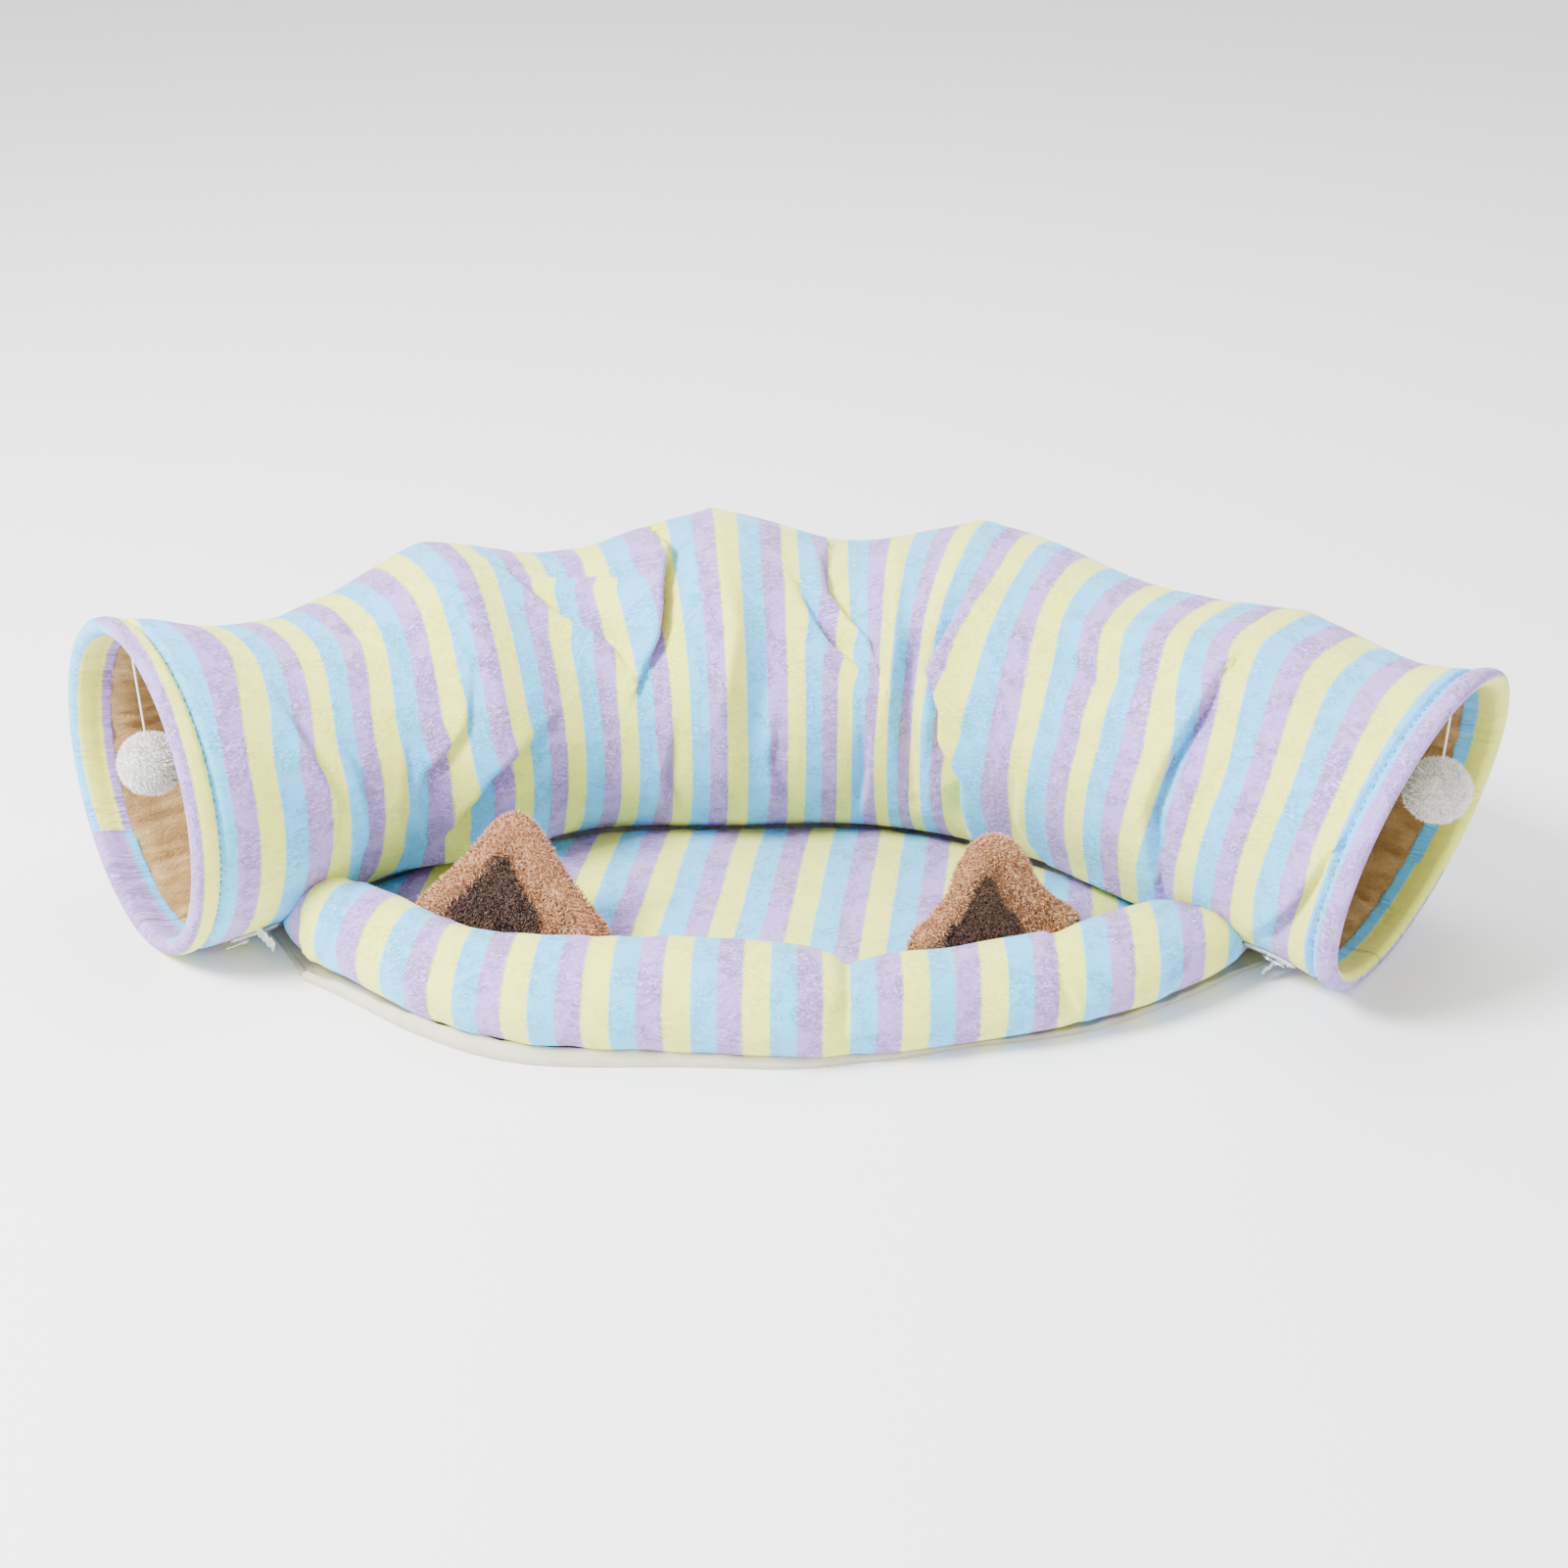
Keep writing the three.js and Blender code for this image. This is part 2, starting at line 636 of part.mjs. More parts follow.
// A rounded plate, its length along X and its thickness along Z from 0 up.
function plate(length, width, thickness) {
  const shape = new THREE.Shape();
  shape.absellipse(0, 0, length / 2, width / 2, 0, 2 * Math.PI);
  const geometry = new THREE.ExtrudeGeometry(shape, { depth: thickness, bevelEnabled: false, curveSegments: 5 });
  geometry.deleteAttribute('normal');
  geometry.deleteAttribute('uv');
  return mergeVertices(geometry, 1e-4);
}

// Zip ends: a strip of tape on the plush at each corner of the bed, with a slider and its pull on it.
for (const zip of ZIPS) {
  addMesh(`zip_tape_${zip.name}`, tapeSolid(zip, 0), COLOURS.tape);
  const at = tunnelPoint(zip.slider, zip.angle, 2 * SEAT + TAPE);
  const ahead = tunnelPoint(zip.slider + 5, zip.angle, 2 * SEAT + TAPE).sub(at).normalize();
  const out = tunnelPoint(zip.slider, zip.angle, 20).sub(at);
  out.addScaledVector(ahead, -out.dot(ahead)).normalize();
  const place = new THREE.Matrix4().makeBasis(ahead, out.clone().cross(ahead), out).setPosition(at);
  const body = toManifold(plate(SLIDER.length, SLIDER.width, SLIDER.height).applyMatrix4(place));
  const pull = plate(PULL.length, PULL.width, PULL.height);
  pull.translate((zip.pull * PULL.length) / 2, 0, PULL.lift).applyMatrix4(place);
  addMesh(`zip_slider_${zip.name}`, fromManifold(body.add(toManifold(pull))), COLOURS.metal, 0.35, 0.8);
}

for (const row of POMPOMS) {
  const inside = Math.min(row.along, TUNNEL_LENGTH - row.along);
  const hem = THREE.MathUtils.mapLinear(inside, ROLL_RADIUS, HEM_SEAM, 2 * ROLL_RADIUS, HEM_THICK);
  const ceiling = tunnelPoint(row.along, 90, -hem - 0.5 * SEAT);
  const centre = new THREE.Vector3(ceiling.x, ceiling.y, ceiling.z - row.cord - POMPOM_CORE + 8);
  const cordEnd = ceiling.z - row.cord;
  addMesh(`pompom_${row.name}`, pompom(centre, cordEnd), COLOURS.pile);
  addMesh(`pompom_cord_${row.name}`, cord(ceiling, new THREE.Vector3(ceiling.x, ceiling.y, cordEnd)), COLOURS.cord);
}

export default bed;
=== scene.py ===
import math

import bmesh
import bpy
import numpy as np
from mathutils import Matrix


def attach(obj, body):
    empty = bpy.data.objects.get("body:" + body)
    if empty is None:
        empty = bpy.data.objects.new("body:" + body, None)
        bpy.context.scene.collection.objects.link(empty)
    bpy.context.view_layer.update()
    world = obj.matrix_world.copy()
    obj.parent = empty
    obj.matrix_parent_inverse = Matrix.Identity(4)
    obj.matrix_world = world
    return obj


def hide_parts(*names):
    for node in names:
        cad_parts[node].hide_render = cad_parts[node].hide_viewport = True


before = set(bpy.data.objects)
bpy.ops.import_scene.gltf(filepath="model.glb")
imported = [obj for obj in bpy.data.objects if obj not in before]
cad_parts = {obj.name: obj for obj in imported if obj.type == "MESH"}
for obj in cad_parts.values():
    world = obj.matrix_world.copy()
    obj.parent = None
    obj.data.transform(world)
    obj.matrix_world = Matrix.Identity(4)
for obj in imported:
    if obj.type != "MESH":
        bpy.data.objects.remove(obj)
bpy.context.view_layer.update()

# A tunnel bed of striped plush: a bent tube on hoops, with a padded bed zipped into its bend.
# Tables and functions work in millimetres, and meshes are written in metres.
MM = 0.001

LINING_FACE = -3.8  # inner face of the nylon, from the plush's outer face
ROLL_RADIUS = 7.0  # rolled hem round each mouth
HEM_DEPTH = 35.0  # how far the plush turns in at a mouth
HEM_THICK = 8.0  # doubled plush at the hem's seam
HEM_SEAM = 30.0  # place of that seam, from the mouth
SEAM_PLACE = 20.5  # stitched groove behind the rolled hem
SEAM_DEPTH = 5.0
SEAM_HALF = 2.4
MEAN_RADIUS = 128.0  # of the tube, turns an angle into a length of cloth
LIP_WIDTH = 3.8  # over which a fold drops from its lip to its valley
RUMPLE = 1.3  # height of the plush's slight unevenness
PERIOD = 58.5  # one yellow, one blue and one lavender stripe on the bolster
MAT_PERIOD = 60.5
BASE_CLOTH = 2.0  # thickness of the cloth under the bed
CORD_RADIUS = 0.9
CORD_END = 11.0  # how far above its pompom's middle a cord ends
POMPOM_RADIUS = 26.6
POMPOM_TUFTS = 5200
GOLDEN_ANGLE = 2.399963
TAPE_WIDTH = 12.0
TAPE_FACE = 1.8  # outer face of the zip tape, from the plush's outer face
EAR_FOOT = 30.0


def table(columns, rows):
    """A short table as one array for each named column."""
    return {name: np.array([row[i] for row in rows], float) for i, name in enumerate(columns)}


# The tunnel's path and cross-section, as in the solids. The hoops sit where the section is roundest.
SECTIONS = table(
    ["along", "x", "y", "heading", "pitch", "wide", "up", "down"],
    [
        [0, -513, 6, 35.5, -5, 136, 136, 136],
        [43, -474, 24, 37, -5, 128, 130, 131],
        [91, -435, 52, 39, -4, 124, 112, 131],
        [203, -348, 121, 36, -2, 119, 108, 131],
        [282, -279, 160, 27, 0, 131, 130, 133],
        [375, -193, 196, 18, 0, 126, 109, 131],
        [512, -57, 210, 4, 0, 133, 137, 133],
        [634, 65, 210, -3, 0, 127, 113, 131],
        [723, 152, 193, -18, 0, 131, 134, 133],
        [863, 273, 121, -35, -2, 124, 118, 131],
        [977, 362, 51, -39.5, -6, 129, 128, 133],
        [1096, 451, -28, -39, -8, 124, 126, 131],
        [1141, 483, -61, -38.4, -8, 136, 136, 136],
    ],
)
TUNNEL_LENGTH = 1141.0
FOOT_ANGLES = [-44, -24]  # between which the tube's wall comes down on the mat

# Folds of the plush: depth, half width, lip, lean, and the [along, angle] places that each runs through down
# the tube, angle 0 facing the bed and 90 the top. A negative depth is a ridge. With a lip, the cloth beside
# the valley swells by that much and leans over it: to the right where lean is positive, else to the left.
FOLDS = [
    (27, 18, 8, 17, [[458, 98], [464, 80], [452, 62], [448, 50], [445, 41], [432, 30]]),
    (12, 15, 5, 8, [[322, 86], [338, 73], [356, 61], [382, 53], [404, 43], [418, 30]]),
    (6, 10, 4, 9, [[350, 82], [378, 79], [406, 76], [430, 70]]),
    (12, 15, 4, 6, [[322, 12], [294, 4], [262, -4], [234, -18], [213, -34]]),
    (9, 14, 3, 4, [[262, 36], [243, 18], [219, 10], [196, 4], [189, -8], [201, -26]]),
    (8, 13, 3, 5, [[132, 18], [137, 0], [139, -14], [126, -38]]),
    (7, 9, 2, 4, [[182, 14], [170, -10], [180, -28]]),
    (5, 10, 1, 0, [[188, 92], [180, 74], [190, 58]]),
    (6, 12, 3, 4, [[91, 52], [98, 30], [112, 6], [106, -16]]),
    (13, 12, 5, 9, [[578, 62], [589, 50], [602, 42], [628, 34], [664, 24]]),
    (13, 12, 5, 9, [[606, 94], [598, 76], [601, 64], [618, 54], [640, 45], [654, 34]]),
    (-9, 12, 0, 0, [[521, 60], [525, 40], [515, 22], [500, 8]]),
    (9, 14, 0, 0, [[556, 44], [552, 24], [540, 4], [544, -20]]),
    (27, 20, 8, -15, [[744, 54], [737, 42], [725, 29], [750, 15], [751, 5], [779, -8], [774, -40]]),
    (-10, 11, 0, 0, [[660, 100], [668, 60], [674, 40], [672, 14]]),
    (17, 14, 0, 0, [[699, 46], [693, 28], [699, 4], [712, -24]]),
    (25, 18, 7, 11, [[974, 60], [972, 44], [966, 26], [964, 6], [982, -20]]),
    (8, 13, 0, 0, [[1014, 40], [1006, 14], [998, -12]]),
    (12, 14, 0, 0, [[838, 50], [880, 48], [930, 52]]),
    (-5, 10, 0, 0, [[842, 66], [884, 65], [930, 68]]),
    (-4, 13, 0, 0, [[846, 30], [890, 30], [926, 34]]),
    (16, 13, 6, 8, [[1112, 14], [1093, -10], [1068, -34]]),
    (7, 15, 2, 3, [[560, 14], [552, -8], [568, -34]]),
    (8, 14, 2, 3, [[460, 4], [448, -14], [462, -40]]),
    (9, 14, 2, -3, [[646, 10], [650, -10], [638, -38]]),
    (7, 15, 2, -3, [[840, 0], [836, -20], [856, -44]]),
    (-11, 15, 0, 0, [[186, -44], [250, -40], [344, -43]]),
    (-6, 15, 0, 0, [[850, -45], [930, -42], [1010, -44]]),
    (7, 16, 0, 0, [[420, 112], [404, 150], [430, 196]]),
    (7, 15, 0, 0, [[602, 118], [622, 160], [596, 204]]),
    (5, 15, 0, 0, [[150, 110], [170, 150], [146, 200]]),
    (5, 15, 0, 0, [[920, 112], [900, 156], [926, 204]]),
]

# The hoops stand out a little under the cloth: place along the tube, and by how much.
HOOPS = table(["along", "proud"], [[43, 1], [282, 3], [512, 4], [723, 4], [977, 2.5], [1096, 1]])
HOOP_HALF = 13.0

# How the striped cloth is gathered on the hoops: the places where some of the yellow stripes begin.
STRIPES = table(
    ["number", "top", "inner"],
    [
        [0, 10, 7],
        [0.34, 21, 20],
        [0.67, 45, 31],
        [1, 76, 49],
        [2, 129, 104],
        [3, 186, 157],
        [5, 300, 290],
        [7, 400, 405],
        [10, 567, 570],
        [11, 605, 615],
        [14, 762, 746],
        [15, 809, 829],
        [16, 865, 892],
        [17, 918, 948],
        [18, 966, 1000],
        [20, 1087, 1100],
        [20.36, 1112, 1116],
        [20.67, 1126, 1127],
    ],
)
LEFT_HEM_STRIPE = -1.2  # stripes counted at the inner edge of each turned-in hem
RIGHT_HEM_STRIPE = 21.52
LEFT_TWIST = -0.3  # the striped cloth sits further round the rolled hem on the tunnel's far side
RIGHT_TWIST = 0.1
HEM_JOIN = 222.02  # angle of the cloth's lengthwise join, below which the left hem's stripes are shifted
LOW_HEM_STRIPE = -0.42

# panel is the dark panel's shift to one side and its width as a share of the ear's.
EARS = [
    {"name": "left", "x": -212, "y": -64, "yaw": -15, "lean": 16,
     "outline": [[80, 0], [77, 28], [60, 47], [41, 68], [26, 88], [14, 103]], "panel": [-12, 0.80]},
    {"name": "right", "x": 163, "y": -67, "yaw": 16, "lean": 12,
     "outline": [[70, 0], [66, 24], [49, 38], [35, 54], [27, 72], [17, 88]], "panel": [-13, 0.74]},
]

ZIPS = [
    {"name": "left", "from": 44, "to": 78, "angle": -53, "slider": 52, "pull": -1},
    {"name": "right", "from": 1056, "to": 1100, "angle": -50, "slider": 1078, "pull": 1},
]

POMPOMS = [
    {"name": "left", "along": 10, "cord": 92},
    {"name": "right", "along": 1128, "cord": 68},
]


# Camera, at the height and angle of the photograph. Its focal length is 2200 pixels of a 1601 pixel frame.
FRAME_PIXELS = 1601
FOCAL_PIXELS = 2200
SENSOR = 36.0

camera_data = bpy.data.cameras.new("camera")
camera_data.sensor_width = SENSOR
camera_data.lens = SENSOR * FOCAL_PIXELS / FRAME_PIXELS
camera_data.clip_end = 50
camera = bpy.data.objects.new("camera", camera_data)
camera.location = (0, -1.45, 0.98)
camera.rotation_euler = (math.radians(60), 0, 0)
bpy.context.scene.collection.objects.link(camera)
bpy.context.scene.camera = camera


# Shapes

def track(rows, key, column, at):
    """A smooth curve through a table's column, read at values of its key column.

    Each stretch is a cubic with given ends and end slopes. An inner slope is the mean of the slopes beside
    it, each weighted by the length of the other stretch, and an end slope is that of its own stretch.
    """
    x, y = rows[key], rows[column]
    gap = np.diff(x)
    slope = np.diff(y) / gap
    inner = (slope[1:] * gap[:-1] + slope[:-1] * gap[1:]) / (gap[1:] + gap[:-1])
    tangent = np.concatenate([slope[:1], inner, slope[-1:]])
    at = np.asarray(at, float)
    i = np.clip(np.searchsorted(x, at, side="right") - 1, 0, len(gap) - 1)
    t = (at - x[i]) / gap[i]
    ends = (2 * t**3 - 3 * t**2 + 1) * y[i] + (3 * t**2 - 2 * t**3) * y[i + 1]
    slopes = (t**3 - 2 * t**2 + t) * tangent[i] + (t**3 - t**2) * tangent[i + 1]
    return ends + gap[i] * slopes


def smooth(low, high, value):
    """Changes softly from 0 at low to 1 at high, which may be the smaller of the two."""
    t = np.clip((value - low) / (high - low), 0, 1)
    return t * t * (3 - 2 * t)


def unit(vectors):
    """The same directions with length 1."""
    return vectors / np.linalg.norm(vectors, axis=-1, keepdims=True)


def ripple(points, size, seed):
    """Soft uneven waves between about -1 and 1, from a few crossed sines of the given size."""
    draw = np.random.default_rng(seed)
    total = np.zeros(points.shape[:-1])
    for _ in range(6):
        way = draw.normal(size=points.shape[-1])
        way /= np.linalg.norm(way) * size * draw.uniform(0.7, 1.5) / (2 * np.pi)
        total += np.sin(points @ way + draw.uniform(0, 2 * np.pi))
    return total / 3


def folds_at(along, angle):
    """Depth of the folds and how far the cloth slides over them, at places on the opened-out cloth.

    A plain fold's depth falls off from its line as exp(-reach^1.7), reach being the distance in half widths.
    A fold with a lip changes over by tanh from the swell on one side of its line to the valley on the
    other. All fade with the square root of a half sine towards the line's ends, and valleys level out
    where the tunnel's wall comes down on the mat.
    """
    turn = np.radians(np.where(angle > 230, angle - 360, angle)) * MEAN_RADIUS
    here = np.stack([along, turn], axis=-1)
    depth, slide = np.zeros(along.shape), np.zeros(along.shape)
    for deep, half, lip, lean, places in FOLDS:
        points = np.array(places, float)
        points[:, 1] = np.radians(points[:, 1]) * MEAN_RADIUS
        nearest = np.full(along.shape, 1e9)
        side, run = np.zeros(along.shape), np.zeros(along.shape)
        for i, leg in enumerate(np.diff(points, axis=0)):
            offset = here - points[i]
            t = np.clip(offset @ leg / (leg @ leg), 0, 1)
            away = np.linalg.norm(offset - t[..., None] * leg, axis=-1)
            closer = away < nearest
            cross = leg[0] * offset[..., 1] - leg[1] * offset[..., 0]
            nearest = np.where(closer, away, nearest)
            side = np.where(closer, np.sign(cross), side)
            run = np.where(closer, (i + t) / (len(points) - 1), run)
        fade = np.sqrt(np.sin(np.pi * np.clip(run, 0.03, 0.97)))
        reach = nearest / half
        if lip:
            beyond = side * (-1 if lean < 0 else 1) * nearest
            valley = 0.5 + 0.5 * np.tanh(beyond / LIP_WIDTH)
            hang = (1 - valley) * np.exp(-(reach**2))
            depth += fade * (deep * valley * np.exp(-(reach**1.4)) - lip * hang)
            slide += fade * lean * hang
        else:
            depth += fade * deep * np.exp(-(reach**1.7))
    level = np.where((angle < 0) & (depth > 0), smooth(*FOOT_ANGLES, angle), 1)
    return depth * level, slide * level


def tunnel_frame(along):
    """Centre, directions and half-axes of the tube's section, each a smooth curve through SECTIONS.

    Past either end the centre goes straight on. The section stands across the heading and leans by pitch.
    """
    inside = np.clip(along, 0, TUNNEL_LENGTH)
    get = {name: track(SECTIONS, "along", name, inside) for name in SECTIONS}
    heading, pitch = np.radians(get["heading"]), np.radians(get["pitch"])
    flat = np.zeros_like(heading)
    forward = np.stack([np.cos(heading), np.sin(heading), flat], -1)
    centre = np.stack([get["x"], get["y"], get["down"] * np.cos(pitch)], -1)
    return {
        "centre": centre + forward * (along - inside)[..., None],
        "side": np.stack([np.sin(heading), -np.cos(heading), flat], -1),
        "top": np.stack(
            [-np.cos(heading) * np.sin(pitch), -np.sin(heading) * np.sin(pitch), np.cos(pitch)], -1
        ),
        "wide": get["wide"],
        "up": get["up"],
        "down": get["down"],
    }


def tunnel_point(along, angle, offset, share=1.0):
    """Points of the tube's wall, with offset measured outwards from the plush's outer face.

    The section is an ellipse with its own half-axis above and below, less the folds and a slight rumple.
    The tube lies flat where it meets the floor. share is how much of the folds the layer takes on.
    """
    along, angle, offset = np.broadcast_arrays(*(np.asarray(v, float) for v in (along, angle, offset)))
    depth, slide = folds_at(along, angle)
    turn = np.radians(angle)
    around = np.stack([along / 62, 2.2 * np.cos(turn), 2.2 * np.sin(turn)], -1)
    clear = smooth(30, 90, along) * smooth(30, 90, TUNNEL_LENGTH - along)
    depth = share * (depth + RUMPLE * clear * ripple(around, 2.0, 3))
    for place, proud in zip(HOOPS["along"], HOOPS["proud"]):
        depth = depth - proud * np.exp(-(np.abs(along - place) / HOOP_HALF) ** 1.5) * smooth(-60, 60, angle)
    at = tunnel_frame(along + share * slide)
    push = offset - depth
    cos, sin = np.cos(turn), np.sin(turn)
    tall = np.where(sin > 0, at["up"], at["down"])
    point = at["centre"] + at["side"] * ((at["wide"] + push) * cos)[..., None]
    point = point + at["top"] * ((tall + push) * sin)[..., None]
    point[..., 2] = np.maximum(point[..., 2], -offset)
    return point


def grid_faces(rows, columns, flip=False):
    """Four-sided faces between the rows of a grid whose columns close into rings."""
    r = np.arange(rows - 1)[:, None] * columns
    c = np.arange(columns)[None, :]
    following = (c + 1) % columns
    faces = np.stack([r + c, r + following, r + columns + following, r + columns + c], -1).reshape(-1, 4)
    return faces[:, ::-1] if flip else faces


def new_piece(name, points, faces, material, slot, node=None, **values):
    """A smooth-shaded piece from points in millimetres and faces, with an attribute for each extra value."""
    mesh = bpy.data.meshes.new(name)
    points = np.asarray(points, float).reshape(-1, 3) * MM
    mesh.vertices.add(len(points))
    mesh.vertices.foreach_set("co", points.ravel())
    mesh.loops.add(faces.size)
    mesh.loops.foreach_set("vertex_index", faces.ravel().astype(np.int32))
    mesh.polygons.add(len(faces))
    mesh.polygons.foreach_set("loop_start", np.arange(0, faces.size, faces.shape[1], dtype=np.int32))
    mesh.polygons.foreach_set("use_smooth", np.ones(len(faces), bool))
    mesh.update(calc_edges=True)
    mesh.validate()
    for label, value in values.items():
        add_values(mesh, label, value)
    piece = bpy.data.objects.new(name, mesh)
    bpy.context.scene.collection.objects.link(piece)
    return dress(piece, material, node)


def add_values(mesh, label, value):
    """Writes a float or vector attribute, one value for each vertex."""
    value = np.asarray(value, float)
    vector = value.shape[-1] == 3 and value.ndim > 1
    layer = mesh.attributes.new(label, "FLOAT_VECTOR" if vector else "FLOAT", "POINT")
    layer.data.foreach_set("vector" if vector else "value", value.astype(np.float32).ravel())


def dress(piece, material, node=None):
    """Gives a piece its material and body, and hides the solid of the node that it stands for."""
    piece.data.materials.clear()
    piece.data.materials.append(material)
    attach(piece, "root")
    if node:
        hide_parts(node)
    return piece


def joined(parts):
    """One set of points and faces from several (points, faces) pairs of the same kind of face."""
    start = np.cumsum([0] + [len(points) for points, _ in parts[:-1]])
    return (
        np.concatenate([points for points, _ in parts]),
        np.concatenate([faces + first for (_, faces), first in zip(parts, start)]),
    )


# Materials

def linear(colour):
    """The linear RGBA of an sRGB hex colour."""
    channels = [int(colour[i : i + 2], 16) / 255 for i in (1, 3, 5)]
    return [c / 12.92 if c <= 0.04045 else ((c + 0.055) / 1.055) ** 2.4 for c in channels] + [1.0]


def add(material, kind, inputs=None, output=0, stops=(), **fields):
    """Adds one node and returns one of its outputs. inputs are its sockets, each a value or another node's
    output, stops are the colours of a ramp, and fields its own settings."""
    node = material.node_tree.nodes.new("ShaderNode" + kind)
    for field, value in fields.items():
        setattr(node, field, value)
    if stops:
        elements = node.color_ramp.elements
        while len(elements) < len(stops):
            elements.new(0.5)
        for element, (place, colour) in zip(elements, stops):
            element.position = place
            element.color = colour
    for socket, value in (inputs or {}).items():
        if isinstance(value, bpy.types.NodeSocket):
            material.node_tree.links.new(value, node.inputs[socket])
        else:
            node.inputs[socket].default_value = value
    return node.outputs[output] if node.outputs else None


def new_material(name):
    """An empty material."""
    material = bpy.data.materials.new(name)
    material.use_nodes = True
    material.node_tree.nodes.clear()
    return material


def tinted(material, colour, value, low, high):
    """A colour made darker or lighter, from low to high, by a value from 0 to 1."""
    shade = add(material, "MapRange", {"Value": value, "To Min": low, "To Max": high})
    return add(material, "VectorMath", {0: colour, "Scale": shade}, operation="SCALE")


def finish_material(material, surface, height=None, deep=0.0, strength=0.0):
    """Ends a material with its surface, under a bump that is deep millimetres high where it has a height."""
    if height is not None:
        bump = add(material, "Bump", {"Height": height, "Strength": strength, "Distance": deep * MM})
        surface = {**surface, "Normal": bump}
    add(material, "OutputMaterial", {"Surface": add(material, "BsdfPrincipled", surface)})
    return material


YELLOW = linear("#E8ED6C")
BLUE = linear("#5CC6FC")
LAVENDER = linear("#B092D8")
EDGE = 0.014  # half width of the soft change between two stripes, as a share of a period
STRAY = 0.07  # how far single hairs cross a stripe's edge, as a share of a period
PILE_LENGTH = {"yellow": 0.3, "blue": 0.55, "lavender": 1.0}  # how much the nap shows on each colour
BAND_SPACING = 0.314  # metres between the bands of a Wave texture at scale 1


def striped_plush():
    """Short polyester plush, knitted, brushed and printed in stripes: soft matt pile that catches light at
    grazing angles. Its nap lies in short wavy rows, ruffled in patches and longest on the lavender.

    Its curls are 3 mm apart, the ruffled patches 26 mm, and single hairs, drawn coarse to show, 1.1 mm."""
    material = new_material("striped_polyester_plush")
    place = add(material, "Attribute", output="Vector", attribute_name="cloth")
    stripe = add(material, "Attribute", output="Fac", attribute_name="stripe")
    long_way = add(material, "VectorMath", {0: place, 1: (0.55, 1.0, 1.0)}, operation="MULTIPLY")
    curl = add(material, "TexNoise", {
        "Vector": long_way, "Scale": 1 / (3.0 * MM), "Detail": 4, "Roughness": 0.6, "Distortion": 1.6,
    })
    nap = add(material, "TexNoise", {
        "Vector": place, "Scale": 1 / (26 * MM), "Detail": 3, "Roughness": 0.6, "Distortion": 0.8,
    })
    fuzz = add(material, "TexNoise", {"Vector": place, "Scale": 1 / (1.1 * MM), "Roughness": 0.6})

    # The count is kept above zero before its fraction is taken.
    stray = add(material, "Math", {0: fuzz, 1: STRAY, 2: 100 - STRAY / 2}, operation="MULTIPLY_ADD")
    count = add(material, "Math", {0: stripe, 1: stray}, operation="ADD")
    part = add(material, "Math", {0: count}, operation="FRACT")
    third = 1 / 3
    colours = [
        [0.0, YELLOW], [third - EDGE, YELLOW], [third + EDGE, BLUE], [2 * third - EDGE, BLUE],
        [2 * third + EDGE, LAVENDER], [1 - 2 * EDGE, LAVENDER], [1.0, YELLOW],
    ]
    grey = {name: [length] * 3 + [1.0] for name, length in PILE_LENGTH.items()}
    lengths = [
        [0.0, grey["yellow"]], [third - EDGE, grey["yellow"]], [third + EDGE, grey["blue"]],
        [2 * third - EDGE, grey["blue"]], [2 * third + EDGE, grey["lavender"]], [1.0, grey["lavender"]],
    ]
    colour = add(material, "ValToRGB", {"Fac": part}, stops=colours)
    pile = add(material, "ValToRGB", {"Fac": part}, stops=lengths)
    ruffled = add(
        material, "MapRange", {"Value": nap, "From Min": 0.4, "From Max": 0.62, "To Min": 0.25},
        interpolation_type="SMOOTHSTEP",
    )
    strength = add(material, "Math", {0: pile, 1: ruffled}, operation="MULTIPLY")
    rows = add(
        material, "MapRange", {"Value": curl, "From Min": 0.3, "From Max": 0.6},
        interpolation_type="SMOOTHSTEP",
    )

    # Painted light and shade: the rows' crests are painted lighter and the gaps between them darker, as light
    # falls on the nap, and whole patches vary by a few hundredths.
    crest_light_and_gap_shade = add(material, "Math", {0: rows, 1: 0.5, 2: -0.35}, operation="MULTIPLY_ADD")
    tone = add(material, "Math", {0: crest_light_and_gap_shade, 1: strength, 2: 0.96}, operation="MULTIPLY_ADD")
    tone = add(material, "Math", {0: nap, 1: 0.08, 2: tone}, operation="MULTIPLY_ADD")
    colour = add(material, "VectorMath", {0: colour, "Scale": tone}, operation="SCALE")
    height = add(material, "Math", {0: rows, 1: strength}, operation="MULTIPLY")
    height = add(material, "Math", {0: fuzz, 1: 0.25, 2: height}, operation="MULTIPLY_ADD")
    surface = {
        "Base Color": colour, "Roughness": 0.95, "Specular IOR Level": 0.15,
        "Sheen Weight": 0.3, "Sheen Roughness": 0.45, "Sheen Tint": (1, 1, 1, 1),
    }
    return finish_material(material, surface, height, 2.2, 0.8)


def tan_nylon():
    """Thin nylon taffeta, calendered: a low sheen that breaks up on many sharp crinkles 9 mm apart, with
    painted shade in their hollows and painted sheen on their crests.
    """
    material = new_material("tan_nylon_taffeta")
    place = add(material, "Attribute", output="Vector", attribute_name="cloth")
    crinkle = add(material, "TexNoise", {
        "Vector": place, "Scale": 1 / (9 * MM), "Detail": 4, "Roughness": 0.62, "Distortion": 2.2,
    })
    patch = add(material, "TexNoise", {"Vector": place, "Scale": 1 / (60 * MM)})
    stops = [[0.3, linear("#96733F")], [0.52, linear("#B38D52")], [0.72, linear("#CBA870")]]
    colour = add(material, "ValToRGB", {"Fac": patch}, stops=stops)
    # Painted shade and sheen: the colour is darker in the crinkles' hollows and lighter on their crests.
    surface = {
        "Base Color": tinted(material, colour, crinkle, 0.62, 1.2), "Roughness": 0.48,
        "Specular IOR Level": 0.4, "Sheen Weight": 0.1,
    }
    return finish_material(material, surface, crinkle, 3.0, 0.8)


